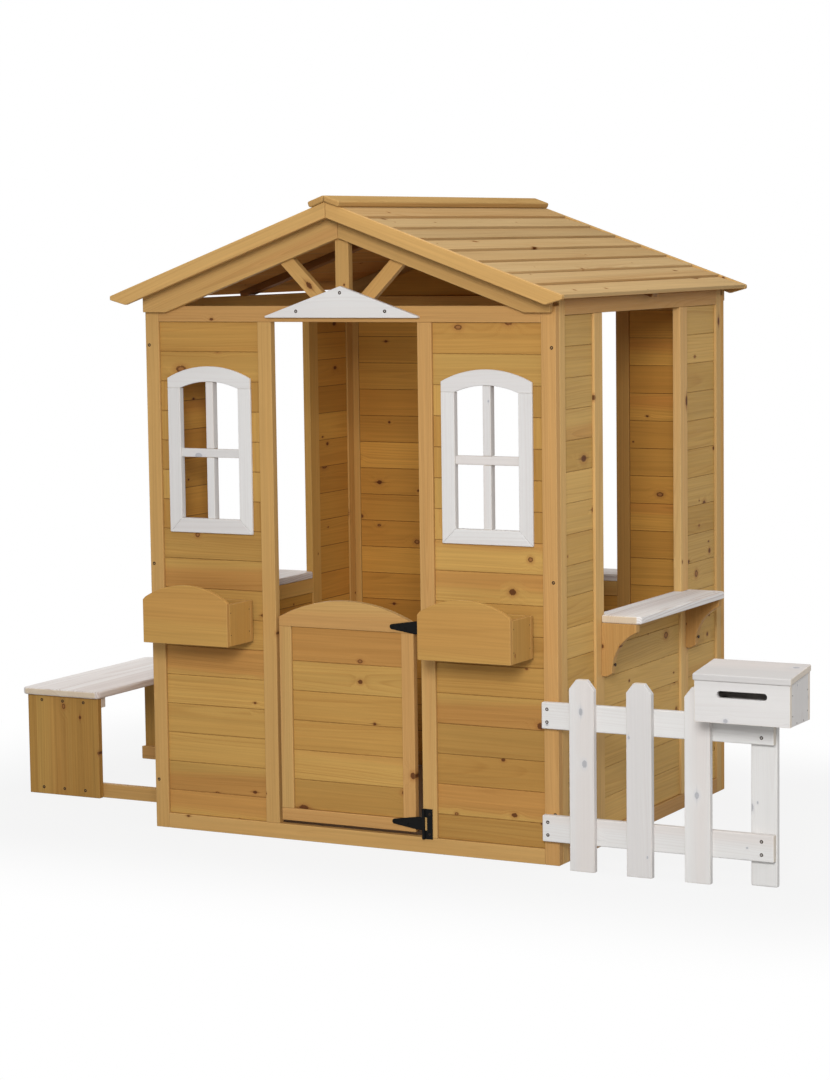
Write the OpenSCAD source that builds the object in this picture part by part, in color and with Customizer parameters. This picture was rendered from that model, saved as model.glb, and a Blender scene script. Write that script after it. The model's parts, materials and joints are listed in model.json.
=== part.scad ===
// Child's timber playhouse with a half door, windows, flower boxes, shelves, bench, fence and mailbox.
// Millimetres. Z is up, the front faces -Y. The origin is the middle of the whole footprint.

/* [Walls] */
// Outside width of the front wall
house_w = 1070; // [980:5:1180]
// Outside depth over the front and rear walls
house_d = 990; // [950:5:1060]
// Height of the front and rear walls
wall_h = 1250; // [1215:5:1300]
// Height of the side walls above the front wall
side_rise = 14; // [4:1:20]
// Thickness of the wall frames
frame_t = 20; // [18:1:24]
// Width of the corner stiles, jambs and bottom rails
frame_w = 36; // [32:1:40]
// Height of the front and rear headers
header_h = 37; // [34:1:42]
// Width of the side walls' corner stiles
side_stile_w = 30; // [26:1:36]
// Thickness of the wall boards
board_t = 10; // [8:0.5:11]
// How far the boards sit behind the face of the frame
board_recess = 6; // [4:0.5:7]
// Height that one wall board covers
board_pitch = 70; // [66:1:73]
// Open joint between neighbouring boards
board_gap = 0.6; // [0.4:0.1:1.2]
// Bevel along the front edges of a board
board_bevel = 1.4; // [0.6:0.2:2.4]

/* [Service openings] */
// Clear width of the opening in a side wall
side_open_w = 457; // [420:1:480]
// How far the opening sits off the middle of a side wall, toward its leading end
side_open_shift = 15.5; // [0:0.5:24]
// Width of the stiles beside a side opening
side_post_w = 45; // [40:1:50]
// Clear width of the opening in the rear wall
rear_open_w = 498; // [460:2:540]
// Height of the underside of the shelves
shelf_z = 520; // [480:1:560]
// Height of the rail below a shelf
sill_rail_h = 37; // [30:1:42]
// Thickness of a shelf
shelf_t = 18; // [15:1:22]
// How far a shelf stands out from the wall
shelf_out = 97; // [92:1:120]
// Shelf lap on the post at the leading end of a side wall
shelf_lap_lead = 16.5; // [14:0.5:22]
// Shelf lap on the other post of a side wall
shelf_lap_tail = 47.5; // [40:0.5:52]
// Shelf lap on each post of the rear wall
shelf_lap_rear = 32; // [26:1:34]
// Corner cut of a shelf
shelf_corner = 9; // [5:1:14]
// Thickness of a shelf bracket
bracket_t = 20; // [16:1:22]
// Depth of a bracket from the wall
bracket_d = 87; // [80:1:92]
// Height of a bracket
bracket_h = 124; // [118:1:135]
// Height of a bracket at its outer end
bracket_end = 19; // [14:1:24]
// Depth of a bracket's stem
bracket_stem = 31; // [27:1:36]
// Where the hollow meets the stem, below the shelf
bracket_bend = 80; // [72:1:86]
// Radius of the hollow
bracket_arc = 100; // [80:1:120]
// Depth of the toe at the bottom of the stem
bracket_toe = 12; // [8:1:16]
// Height of the slanting cut above the toe
bracket_toe_h = 11; // [8:1:16]

/* [Doorway] */
// Clear width between the door jambs
door_open_w = 382; // [366:2:390]
// Gap at the free edge of the door
door_gap_free = 8; // [5:1:12]
// Gap at the hinged edge of the door
door_gap_hinge = 19; // [17:0.5:22]
// Gap under the door
door_gap_under = 10; // [6:1:14]
// Thickness of the door
door_t = 18; // [16:1:20]
// Width of the door stiles
door_stile_w = 32; // [28:1:38]
// Height of the door's bottom rail
door_rail_h = 29; // [24:1:36]
// Height of the top of the door stiles above the bottom of the door
door_stile_h = 459.5; // [430:0.5:490]
// Height of the top rail at its ends
door_shoulder = 21.5; // [18:0.5:26]
// Rise of the arch on the top rail
door_arch = 44.5; // [36:0.5:52]
// Thickness of the door boards
door_board_t = 9; // [7:0.5:10]
// How far the door boards sit behind its face
door_recess = 5; // [3:0.5:6]
// How far the door's face stands in front of the wall frame
door_proud = 0.4; // [0.3:0.1:1]

/* [Door hinges] */
// How far the hinge axis lies past the edge of the jamb
hinge_past = 3; // [2:0.5:5]
// Thickness of the hinge steel
hinge_t = 2; // [1.6:0.2:2.6]
// Outside radius of the hinge barrel
barrel_r = 3.6; // [3.4:0.1:4.2]
// Radius of the hinge pin
pin_r = 1.7; // [1.4:0.1:1.9]
// Clearance round the pin
pin_clear = 0.05; // [0.03:0.01:0.1]
// Gap between neighbouring knuckles
knuckle_gap = 0.3; // [0.2:0.1:0.5]
// Height of the strap at the barrel
strap_h = 30; // [26:1:34]
// Height of the strap at its round tip
strap_tip_h = 12; // [8:1:16]
// Length of the strap from the hinge axis
strap_len = 82; // [74:1:94]
// Length of the straight part of the strap beside the barrel
strap_neck = 16; // [10:1:22]
// Distance of the first strap screw from the tip
strap_screw_in = 7; // [6:0.5:10]
// Spacing of the strap screws
strap_screw_pitch = 17; // [14:0.5:20]
// How far the second and third strap screws sit off the middle
strap_screw_off = 3.5; // [2:0.5:5]
// Height of the jamb plate
plate_h = 70; // [66:0.5:76]
// Width of the jamb plate
plate_w = 14; // [12:0.5:18]
// Gap from the barrel axis to the jamb plate
plate_off = 8; // [7:0.5:9]
// Lower hinge above the bottom of the door
hinge_low = 22; // [20:1:60]
// Upper hinge above the top of the door stiles
hinge_high = 14; // [10:1:18]

/* [Windows] */
// Gap between a window frame and the stiles beside it
window_margin = 22.5; // [15:0.5:30]
// Width of the window frame members
window_frame_w = 34; // [30:1:36]
// Width of the part of a jamb that sits in the wall
window_stem_w = 19.5; // [16:0.5:24]
// How far the frame stands in front of the wall frame
window_proud = 1; // [0:0.5:4]
// Courses of boards above the window hole
window_courses_above = 2; // [2:1:3]
// Courses of boards cut by the window hole
window_courses = 5; // [4:1:5]
// Lap of the window sill over the board below
window_sill_lap = 7; // [5:0.5:12]
// Height of the window head at its middle
window_head_h = 36; // [32:1:42]
// Rise of the arch on the window head
window_arch = 28; // [22:1:34]
// Width of the glazing bars
bar_w = 20; // [16:1:24]
// Depth of the cross bar
cross_bar_t = 12; // [8:1:14]
// Depth of the upright bars
upright_bar_t = 20; // [14:1:24]
// How far the bars sit behind the face of the window frame
bar_set = 3; // [2:0.5:5]
// Height of the cross bar above the sill
bar_rise = 155; // [120:1:180]
// Fitting gap at the bar joints
bar_gap = 0.4; // [0.2:0.1:0.6]

/* [Flower boxes] */
// Gap between a flower box's side and the edge of the stile beside it
planter_margin = 20.5; // [14:0.5:34]
// Height of the bottom of a flower box
planter_z = 467; // [430:1:500]
// Height of a flower box at its sides
planter_h = 104; // [85:1:110]
// Height of the arch on its front panel above the sides
planter_arch = 35; // [26:1:40]
// Corner cut of the front panel
planter_corner = 6.5; // [4:0.5:10]
// Depth of a flower box, front to back
planter_d = 115.5; // [95:0.5:130]
// Thickness of the flower box panels
planter_t = 12; // [9:0.5:14]
// Gap from the wall frame to the back of a flower box
planter_off = 9.5; // [6:0.5:14]
// How far the hanging batten stops short of the flower box's sides
hanger_in = 25.5; // [14:0.5:40]
// Height of the hanging batten
hanger_h = 60; // [40:1:70]

/* [Gables] */
// Thickness of the rafters
rafter_t = 18; // [15:1:22]
// Depth of a rafter, measured plumb
rafter_v = 72; // [64:1:78]
// How far the rafter feet reach below the wall top
rafter_foot = 14.6; // [10:0.1:22]
// How far the rafter ends stop short of the house corner
rafter_in = 5; // [2:1:10]
// Width of the king post
king_w = 35; // [30:1:38]
// Width of the braces
brace_w = 32; // [26:1:33]
// Distance from the middle to the outer corner of a brace's foot
brace_foot = 66; // [64:1:80]
// How far a brace runs up behind the rafter
brace_tuck = 15; // [12:1:20]
// Width of the pediment board
pediment_w = 400; // [340:5:440]
// Height of the pediment board at its middle
pediment_h = 72; // [60:1:80]
// Height of the pediment board at its ends
pediment_end = 4; // [3:0.5:8]
// Thickness of the pediment board
pediment_t = 12; // [9:0.5:14]
// How far the pediment reaches below the wall top
pediment_drop = 27; // [20:1:32]

/* [Roof] */
// Slope of the roof in degrees
roof_pitch = 19.8; // [18.6:0.2:22]
// Height of the roof boards above the front wall at the corners
roof_lift = 33; // [28:1:40]
// Overhang of the roof boards at the front
roof_front = 60; // [50:1:75]
// Overhang at the eaves
roof_eave = 50; // [44:1:60]
// Number of boards on each slope
roof_boards_n = 8; // [7:1:9]
// Thickness of a roof board at its lower edge
roof_butt = 9.5; // [8:0.5:11]
// Thickness of a roof board at its upper edge
roof_tail = 4; // [3:0.5:6]
// Distance from the ridge to the first roof board
ridge_gap = 22; // [16:1:26]
// Thickness of the barge boards
barge_t = 14; // [12:1:18]
// Depth of a barge board, measured plumb
barge_v = 36; // [32:1:44]
// Height of a barge board above the underside of the roof boards
barge_up = 10; // [9:0.5:13]
// Plumb cut at the tip of a barge board
barge_tip = 9.4; // [6:0.2:12]
// Length of the sloping cut at the tip
barge_cut = 42; // [30:1:50]
// Width of a ridge board
ridge_w = 36; // [32:1:42]
// Thickness of a ridge board
ridge_t = 14; // [10:1:16]
// How far the ridge boards pass the front barge boards
ridge_over = 8; // [4:1:14]
// Gap between a batten under the roof and the side wall below it
batten_clear = 1; // [0.5:0.5:3]
// Width of the battens
batten_w = 36; // [30:1:44]
// Start of a batten, measured down the slope
batten_start = 90; // [70:1:110]
// How far a batten stops short of the eave
batten_stop = 18; // [12:1:60]
// Open joint where roof members meet at the ridge
apex_gap = 0.6; // [0.4:0.1:1.2]

/* [Bench] */
// Distance from the house to the far edge of the seat
bench_reach = 544; // [480:2:620]
// How far the seat sits off the middle of the house, toward the rear
bench_shift = 13.5; // [-30:0.5:30]
// Length of the seat
seat_len = 581; // [520:1:600]
// Width of the seat
seat_w = 234; // [200:2:260]
// Height of the seat's top
seat_h = 274; // [240:1:310]
// Thickness of the seat
seat_t = 18; // [15:1:22]
// Corner radius of the seat
seat_r = 15; // [8:1:24]
// Thickness of the legs
leg_t = 18; // [15:1:22]
// Overhang of the seat past a leg's outer face
leg_in = 12; // [8:1:20]
// Overhang of the seat past a leg's edges
leg_edge_in = 10; // [6:1:16]
// Height of the cleats under the seat
cleat_h = 26; // [22:1:34]
// Thickness of the cleats
cleat_t = 18; // [15:1:22]
// Height of the floor stretchers
stretcher_h = 35; // [30:1:36]
// Thickness of the floor stretchers
stretcher_t = 18; // [15:1:22]

/* [Fence] */
// Distance from the house to the end of the rails
fence_len = 514; // [500:2:580]
// Lap of the rails on the house corner
fence_lap = 35; // [30:1:36]
// Width of every fence board
fence_w = 60; // [54:1:64]
// Thickness of the rails and the post
fence_t = 16; // [14:1:18]
// Thickness of the pickets
picket_t = 15; // [12:1:18]
// Height of the lower rail
rail_low = 57; // [45:1:80]
// Height of the upper rail
rail_high = 312; // [290:1:325]
// Gap from the house to the first picket
picket_start = 39.6; // [34:0.1:50]
// Spacing of the pickets
picket_pitch = 137.2; // [124:0.2:142]
// Number of pickets
picket_n = 3; // [2:1:3]
// Height of the pickets
picket_h = 430; // [400:1:450]
// Height of a picket's sloping shoulders
picket_point = 22; // [16:1:28]
// Width of a picket's flat top
picket_top_w = 25; // [18:1:32]
// Height of the end post
post_h = 462; // [440:1:468]
// How far the end post passes the rails
post_past = 2; // [0:0.5:6]

/* [Mailbox] */
// Width of the mailbox
mailbox_w = 216; // [200:1:240]
// Distance from the post's middle to the mailbox's middle, toward the house
mailbox_shift = 4; // [0:1:10]
// Depth of the mailbox
mailbox_d = 120; // [104:1:140]
// Height of the mailbox at the front
mailbox_h = 89; // [80:1:92]
// Extra height of the mailbox at the back
mailbox_rise = 15; // [12:1:24]
// Thickness of the mailbox panels
mailbox_t = 10; // [8:0.5:12]
// Length of the letter slot
slot_w = 113.2; // [90:0.2:130]
// Height of the letter slot
slot_h = 15; // [10:0.5:20]
// Middle of the letter slot above the bottom
slot_up = 61.7; // [45:0.1:68]
// Thickness of the lid
lid_t = 15; // [12:0.5:17]
// Overhang of the lid at each side
lid_side = 3; // [2:0.5:8]
// Overhang of the lid at the front
lid_front = 4; // [2:0.5:12]
// Gap under the closed lid
lid_gap = 0.5; // [0.4:0.1:0.8]
// Spacing of the lid hinges
lid_hinge_span = 135; // [124:1:150]
// Width of a lid hinge
lid_hinge_w = 24; // [20:1:28]
// Thickness of the lid hinge leaves
lid_leaf_t = 1.5; // [1:0.1:1.8]
// Height of a leaf on the mailbox
lid_leaf_h = 18; // [14:1:22]
// Outside radius of the lid hinge barrel
lid_barrel_r = 2.6; // [2.4:0.1:3]
// Radius of the lid hinge pin
lid_pin_r = 1.2; // [1:0.1:1.4]
// Gap between the barrel and the wood
lid_barrel_off = 0.3; // [0.2:0.1:0.6]

/* [Fasteners] */
// Radius of a screw head
head_r = 4; // [3:0.25:4.5]
// Height of a screw head
head_h = 2; // [1.4:0.2:2.6]
// How far a head stands proud
head_proud = 0.6; // [0.4:0.1:1]
// Radius of a screw shank
shank_r = 1.8; // [1.4:0.1:2.2]
// Depth of a screw in the second piece
screw_bite = 13; // [8:1:14]
// Height of the lowest corner screws
corner_low = 116; // [80:1:160]
// Height of the middle corner screws
corner_mid = 638; // [580:1:700]
// Distance of the highest corner screws below the wall top
corner_high = 92; // [60:1:130]
// Distance of the outer pediment screws from the middle
pediment_screw_x = 116; // [100:1:130]
// Height of the outer pediment screws above the bottom edge
pediment_screw_z = 15; // [12:1:17]
// Height of the middle pediment screw above the bottom edge
pediment_screw_top = 57; // [52:1:60]
// Spacing of the two screws at a rail end
rail_screw_gap = 29; // [20:1:34]
// Spacing of the screws along a bench leg
leg_screw_gap = 63.5; // [50:0.5:70]
// Radius of a hinge screw head
hinge_head_r = 2.8; // [2.2:0.1:3.2]
// Height of a hinge screw head above the steel
hinge_head_h = 1; // [0.6:0.1:1.4]
// Radius of a nail
nail_r = 1.5; // [1:0.1:1.8]
// Length of a nail
nail_len = 24; // [18:1:30]
// Length of a brad in the side of a box
brad_len = 8; // [6:0.5:9]
// Distance of a brad from the end of the side
brad_in = 5; // [4:0.5:8]

/* [Hidden] */
$fn = 64;
wood = [0.77, 0.62, 0.38];
white = [0.88, 0.87, 0.85];
black = [0.09, 0.09, 0.09];
steel = [0.35, 0.3, 0.26];
mid = house_w / 2;
side_len = house_d - 2 * frame_t;
side_h = wall_h + side_rise;
header_z = wall_h - header_h;
jamb_l = mid - door_open_w / 2;
jamb_r = mid + door_open_w / 2;
panel_w = jamb_l - 2 * frame_w;
panel_mid_l = frame_w + panel_w / 2;
side_open_x = (side_len - side_open_w) / 2 - side_open_shift;
side_open_end = side_open_x + side_open_w;
rear_open_x = (house_w - rear_open_w) / 2;
rear_open_end = rear_open_x + rear_open_w;
sill_z = shelf_z - sill_rail_h;
hole_top = header_z - window_courses_above * board_pitch;
hole_bottom = hole_top - window_courses * board_pitch;
window_half = panel_w / 2 - window_margin;
window_w = 2 * (window_half - window_frame_w);
hole_half = window_w / 2 + window_stem_w;
window_sill_top = hole_bottom - window_sill_lap + window_frame_w;
head_r_out = arc_radius(window_half, window_arch);
head_r_in = head_r_out - window_head_h;
head_mid_z = hole_top - head_r_in;
head_foot_z = head_mid_z + sqrt(pow(head_r_in, 2) - pow(window_w / 2, 2));
slope = tan(roof_pitch);
ridge_z = wall_h + roof_lift + slope * mid;
roof_half = mid + roof_eave;
roof_rear = house_d + rafter_t;
slope_end = roof_half / cos(roof_pitch) - roof_butt * slope;
roof_step = (slope_end - ridge_gap) / roof_boards_n;
ridge_n = barge_up * cos(roof_pitch);
batten_t = (roof_lift - side_rise) * cos(roof_pitch) - batten_clear;
batten_end = slope_end - batten_stop;
rafter_foot_z = wall_h - rafter_foot;
rafter_foot_x = (ridge_z - rafter_v - rafter_foot_z) / slope;
brace_end = (ridge_z - rafter_v - wall_h - slope * brace_foot) / (1 + slope) + brace_tuck;
brace_half = brace_w / sqrt(2);
door_l = jamb_l + door_gap_free;
door_r = jamb_r - door_gap_hinge;
door_mid = (door_l + door_r) / 2;
door_half = (door_r - door_l) / 2;
door_z = frame_w + door_gap_under;
door_rail_z = door_z + door_rail_h;
door_top_z = door_z + door_stile_h;
door_arc = arc_radius(door_half, door_arch);
hinge_x = jamb_r + hinge_past;
hinge_y = -barrel_r - door_proud;
hinge_zs = [door_z + hinge_low, door_top_z + hinge_high];
bore_r = pin_r + pin_clear;
plate_knuckle_h = (plate_h - strap_h) / 2 - knuckle_gap;
planter_w = panel_w - 2 * planter_margin;
hanger_w = planter_w - 2 * hanger_in;
planter_back = -planter_off;
planter_front = planter_back - planter_d;
planter_in = planter_w / 2 - planter_t;
planter_r = arc_radius(planter_w / 2, planter_arch);
planter_arc_z = planter_z + planter_h + planter_arch - planter_r;
hanger_z = planter_z + planter_t;
bench_y = house_d / 2 + bench_shift - seat_len / 2;
bench_far = -bench_reach;
bench_near = bench_far + seat_w;
leg_far = bench_far + leg_edge_in;
leg_near = bench_near - leg_edge_in;
leg_mid = (leg_far + leg_near) / 2;
leg_y = [bench_y + leg_in, bench_y + seat_len - leg_in - leg_t];
inner_y = [leg_y[0] + leg_t, leg_y[1]];
seat_z = seat_h - seat_t;
rail_end = house_w + fence_len;
post_x = rail_end + post_past - fence_w;
post_mid = post_x + fence_w / 2;
rails_z = [rail_low, rail_high];
mailbox_mid = post_mid - mailbox_shift;
mailbox_l = mailbox_mid - mailbox_w / 2;
mailbox_r = mailbox_mid + mailbox_w / 2;
mailbox_z = rail_high + fence_w;
mailbox_back_z = mailbox_z + mailbox_h + mailbox_rise;
lid_slope = mailbox_rise / mailbox_d;
lid_plumb = lid_t * sqrt(1 + pow(lid_slope, 2));
lid_axis_y = lid_barrel_off + lid_barrel_r;
lid_bore_r = lid_pin_r + pin_clear;
lid_knuckle = (lid_hinge_w - 2 * knuckle_gap) / 3;
x_min = -max(bench_reach, roof_eave);
x_max = max(mailbox_r + lid_side, rail_end + post_past);
y_min = -max(planter_off + planter_d, mailbox_d + lid_front, roof_front + barge_t + ridge_over);
y_max = house_d + max(shelf_out, rafter_t + barge_t);
center = [(x_min + x_max) / 2, (y_min + y_max) / 2, 0];

// Radius of the arc over a half chord with a given rise
function arc_radius(half, rise) = (pow(half, 2) + pow(rise, 2)) / (2 * rise);

// Joints between the courses of a panel, from the top edge down, counted from the datum
function course_lines(bottom, top, datum) = concat([top],
    [for (k = [ceil((datum - top) / board_pitch + 0.2) : 1 : floor((datum - bottom) / board_pitch - 0.2)])
        datum - k * board_pitch],
    [bottom]);

// Underside of the mailbox lid's bearing plane at a depth
function mailbox_top(y) = mailbox_back_z + lid_slope * y;

module placed() {
    translate(-center) children();
}

module block(x0, x1, y0, y1, z0, z1) {
    translate([x0, y0, z0]) cube([x1 - x0, y1 - y0, z1 - z0]);
}

// Profile in Y and Z, run along X
module along_x(x0, x1) {
    translate([x0, 0, 0]) rotate([90, 0, 90]) linear_extrude(x1 - x0) children();
}

// Profile in X and Z, run along Y
module along_y(y0, y1) {
    translate([0, y1, 0]) rotate([90, 0, 0]) linear_extrude(y1 - y0) children();
}

module both_sides() {
    children();
    translate([house_w, 0, 0]) mirror([1, 0, 0]) children();
}

module both_ends() {
    children();
    translate([0, house_d, 0]) mirror([0, 1, 0]) children();
}

// Wall frames: X runs along the wall, the outer face is Y = 0 and Y points into the house
module on_right() {
    translate([house_w, frame_t, 0]) rotate([0, 0, 90]) children();
}

module on_left() {
    translate([0, house_d - frame_t, 0]) rotate([0, 0, -90]) children();
}

module on_rear() {
    translate([house_w, house_d, 0]) rotate([0, 0, 180]) children();
}

module wall_board(x0, x1, z0, z1) {
    front = board_recess;
    back = board_recess + board_t;
    along_x(x0, x1) polygon([[front, z0 + board_bevel], [front + board_bevel, z0], [back, z0],
        [back, z1], [front + board_bevel, z1], [front, z1 - board_bevel]]);
}

module wall_panel(x0, x1, bottom, top, datum) {
    lines = course_lines(bottom, top, datum);
    for (i = [0 : len(lines) - 2])
        wall_board(x0, x1, lines[i + 1] + board_gap / 2, lines[i] - board_gap / 2);
}

// Stiles of a wall with one service opening
module open_stiles(length, height, top_rail, corner_w, post_w, x0, x1) {
    for (x = [0, length - corner_w])
        block(x, x + corner_w, 0, frame_t, 0, height);
    for (x = [x0 - post_w, x1])
        block(x, x + post_w, 0, frame_t, frame_w, height - top_rail);
}

module open_rails(length, height, top_rail, corner_w, x0, x1) {
    block(corner_w, length - corner_w, 0, frame_t, 0, frame_w);
    block(corner_w, length - corner_w, 0, frame_t, height - top_rail, height);
    block(x0, x1, 0, frame_t, sill_z, shelf_z);
}

module open_boards(length, height, top_rail, corner_w, post_w, x0, x1) {
    datum = height - top_rail;
    wall_panel(corner_w, x0 - post_w, frame_w, datum, datum);
    wall_panel(x1 + post_w, length - corner_w, frame_w, datum, datum);
    wall_panel(x0, x1, frame_w, sill_z, datum);
}

module shelf(x0, x1, lap0, lap1) {
    a = x0 - lap0;
    b = x1 + lap1;
    translate([0, 0, shelf_z]) linear_extrude(shelf_t)
        polygon([[a, 0], [a, shelf_corner - shelf_out], [a + shelf_corner, -shelf_out],
            [b - shelf_corner, -shelf_out], [b, shelf_corner - shelf_out], [b, 0],
            [x1, 0], [x1, frame_t], [x0, frame_t], [x0, 0]]);
}

module bracket(x) {
    outer = [bracket_d, -bracket_end];
    inner = [bracket_stem, -bracket_bend];
    chord = norm(outer - inner);
    away = [outer.y - inner.y, inner.x - outer.x] / chord;
    hollow = (outer + inner) / 2 + away * sqrt(pow(bracket_arc, 2) - pow(chord / 2, 2));
    cut = bracket_h - bracket_toe_h;
    translate([x + bracket_t, 0, shelf_z]) rotate([90, 0, -90]) linear_extrude(bracket_t)
        difference() {
            polygon([[0, 0], [bracket_d, 0], outer, inner, [bracket_stem, -cut],
                [bracket_toe, -bracket_h], [0, -bracket_h]]);
            translate(hollow) circle(bracket_arc);
        }
}

module brackets(x0, x1, lap0, lap1) {
    bracket(x0 - lap0);
    bracket(x1 + lap1 - bracket_t);
}

module bracket_screws(x0, x1, lap0, lap1) {
    z = shelf_z - (bracket_bend + bracket_h - bracket_toe_h) / 2;
    for (x = [x0 - lap0 + bracket_t / 2, x1 + lap1 - bracket_t / 2])
        translate([x, -bracket_stem, z]) rotate([-90, 0, 0]) screw(bracket_stem + screw_bite);
}

module side_stiles() {
    open_stiles(side_len, side_h, frame_w, side_stile_w, side_post_w, side_open_x, side_open_end);
}

module side_rails() {
    open_rails(side_len, side_h, frame_w, side_stile_w, side_open_x, side_open_end);
}

module side_boards() {
    open_boards(side_len, side_h, frame_w, side_stile_w, side_post_w, side_open_x, side_open_end);
}

module side_shelf() {
    shelf(side_open_x, side_open_end, shelf_lap_lead, shelf_lap_tail);
}

module side_brackets() {
    brackets(side_open_x, side_open_end, shelf_lap_lead, shelf_lap_tail);
}

module side_bracket_screws() {
    bracket_screws(side_open_x, side_open_end, shelf_lap_lead, shelf_lap_tail);
}

// A countersunk screw, driven along Z from its head
module screw(length) {
    union() {
        translate([0, 0, -head_proud]) cylinder(r = head_r, h = head_h);
        cylinder(r = shank_r, h = length);
    }
}

module screw_in(x, y, z, length) {
    translate([x, y, z]) rotate([-90, 0, 0]) screw(length);
}

module hinge_screw(x, z, length) {
    translate([x, -hinge_t, z]) rotate([-90, 0, 0]) union() {
        translate([0, 0, -hinge_head_h]) cylinder(r = hinge_head_r, h = hinge_head_h);
        translate([0, 0, -hinge_head_h / 2]) cylinder(r = shank_r, h = length + hinge_t);
    }
}

// Roof frame: X runs down the right slope from the ridge, Z stands square to it
module on_slope() {
    translate([mid, 0, ridge_z]) rotate([0, roof_pitch, 0]) children();
}

module front_stiles() {
    color(wood) placed() {
        for (x = [0, house_w - frame_w])
            block(x, x + frame_w, 0, frame_t, 0, wall_h);
        for (x = [jamb_l - frame_w, jamb_r])
            block(x, x + frame_w, 0, frame_t, frame_w, header_z);
    }
}

module front_rails() {
    color(wood) placed() {
        block(frame_w, house_w - frame_w, 0, frame_t, 0, frame_w);
        block(frame_w, house_w - frame_w, 0, frame_t, header_z, wall_h);
    }
}

// Boards of the left front panel, with the courses beside the window cut short
module front_panel() {
    lines = course_lines(frame_w, header_z, header_z);
    first = window_courses_above;
    last = window_courses_above + window_courses;
    x0 = frame_w;
    x1 = jamb_l - frame_w;
    for (i = [0 : len(lines) - 2]) {
        z0 = lines[i + 1] + board_gap / 2;
        z1 = lines[i] - board_gap / 2;
        if (i >= first && i < last) {
            wall_board(x0, panel_mid_l - hole_half, z0, z1);
            wall_board(panel_mid_l + hole_half, x1, z0, z1);
        } else {
            wall_board(x0, x1, z0, z1);
        }
    }
}

module front_boards_left() {
    color(wood) placed() front_panel();
}

module front_boards_right() {
    color(wood) placed() translate([house_w, 0, 0]) mirror([1, 0, 0]) front_panel();
}

module window_heads() {
    color(white) placed() both_sides() along_y(-window_proud, board_recess)
        translate([panel_mid_l, head_mid_z]) difference() {
            intersection() {
                circle(head_r_out);
                translate([-window_half, head_foot_z - head_mid_z])
                    square([2 * window_half, head_r_out]);
            }
            circle(head_r_in);
        }
}

module window_jambs() {
    a = window_w / 2;
    foot = window_sill_top;
    color(white) placed() both_sides() translate([panel_mid_l, 0, 0])
        for (side = [0, 1]) mirror([side, 0, 0]) union() {
            along_y(-window_proud, board_recess)
                polygon([[a, foot], [window_half, foot - window_frame_w],
                    [window_half, head_foot_z], [a, head_foot_z]]);
            block(a, hole_half, board_recess - 1, board_recess + board_t, foot, head_foot_z);
        }
}

module window_sills() {
    a = window_w / 2;
    top = window_sill_top;
    color(white) placed() both_sides() translate([panel_mid_l, 0, 0]) union() {
        along_y(-window_proud, board_recess)
            polygon([[-window_half, top - window_frame_w], [window_half, top - window_frame_w],
                [a, top], [-a, top]]);
        block(-hole_half, hole_half, board_recess, board_recess + board_t, hole_bottom, top);
        block(-a, a, board_recess - 1, board_recess + board_t, hole_bottom, top);
    }
}

// One cross bar through the window, with an upright above and below it
module window_bars() {
    y = bar_set - window_proud;
    half = bar_w / 2;
    bar_z = window_sill_top + bar_rise;
    top = head_mid_z + sqrt(pow(head_r_in, 2) - pow(half, 2)) - bar_gap / 2;
    color(white) placed() both_sides() translate([panel_mid_l, 0, 0]) {
        block(-window_w / 2, window_w / 2, y, y + cross_bar_t, bar_z - half, bar_z + half);
        block(-half, half, y, y + upright_bar_t, window_sill_top, bar_z - half - bar_gap);
        block(-half, half, y, y + upright_bar_t, bar_z + half + bar_gap, top);
    }
}

module gable_rafters() {
    end = mid - rafter_in;
    g = apex_gap / 2;
    color(wood) placed() both_ends() both_sides() along_y(-rafter_t, 0) translate([mid, 0])
        polygon([[g, ridge_z - slope * g], [g, ridge_z - rafter_v - slope * g],
            [rafter_foot_x, rafter_foot_z], [end, rafter_foot_z], [end, ridge_z - slope * end]]);
}

module gable_posts() {
    color(wood) placed()
        block(mid - king_w / 2, mid + king_w / 2, 0, frame_t, wall_h, ridge_z - rafter_v / 2);
}

module gable_braces() {
    x = brace_foot + brace_end;
    z = wall_h + brace_end;
    color(wood) placed() both_sides() along_y(0, frame_t) translate([mid, 0])
        polygon([[brace_foot - 2 * brace_half, wall_h], [brace_foot, wall_h],
            [x, z], [x - brace_half, z + brace_half]]);
}

module pediment() {
    half = pediment_w / 2;
    z = wall_h - pediment_drop;
    color(white) placed() along_y(-pediment_t, 0) translate([mid, z])
        polygon([[-half, 0], [half, 0], [half, pediment_end], [0, pediment_h], [-half, pediment_end]]);
}

module right_stiles() {
    color(wood) placed() on_right() side_stiles();
}

module right_rails() {
    color(wood) placed() on_right() side_rails();
}

module right_boards() {
    color(wood) placed() on_right() side_boards();
}

module right_shelf() {
    color(white) placed() on_right() side_shelf();
}

module right_brackets() {
    color(wood) placed() on_right() side_brackets();
}

module left_stiles() {
    color(wood) placed() on_left() side_stiles();
}

module left_rails() {
    color(wood) placed() on_left() side_rails();
}

module left_boards() {
    color(wood) placed() on_left() side_boards();
}

module left_shelf() {
    color(white) placed() on_left() side_shelf();
}

module left_brackets() {
    color(wood) placed() on_left() side_brackets();
}

module rear_stiles() {
    color(wood) placed() on_rear()
        open_stiles(house_w, wall_h, header_h, frame_w, frame_w, rear_open_x, rear_open_end);
}

module rear_rails() {
    color(wood) placed() on_rear()
        open_rails(house_w, wall_h, header_h, frame_w, rear_open_x, rear_open_end);
}

// Courses that close the rear gable, behind the rafters
module gable_courses() {
    top = ridge_z - rafter_v / 2;
    half = (top - wall_h) / slope;
    for (z = [wall_h : board_pitch : top])
        along_y(0, board_t) intersection() {
            polygon([[mid - half, wall_h], [mid + half, wall_h], [mid, top]]);
            translate([0, z + board_gap / 2]) square([house_w, board_pitch - board_gap]);
        }
}

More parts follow.
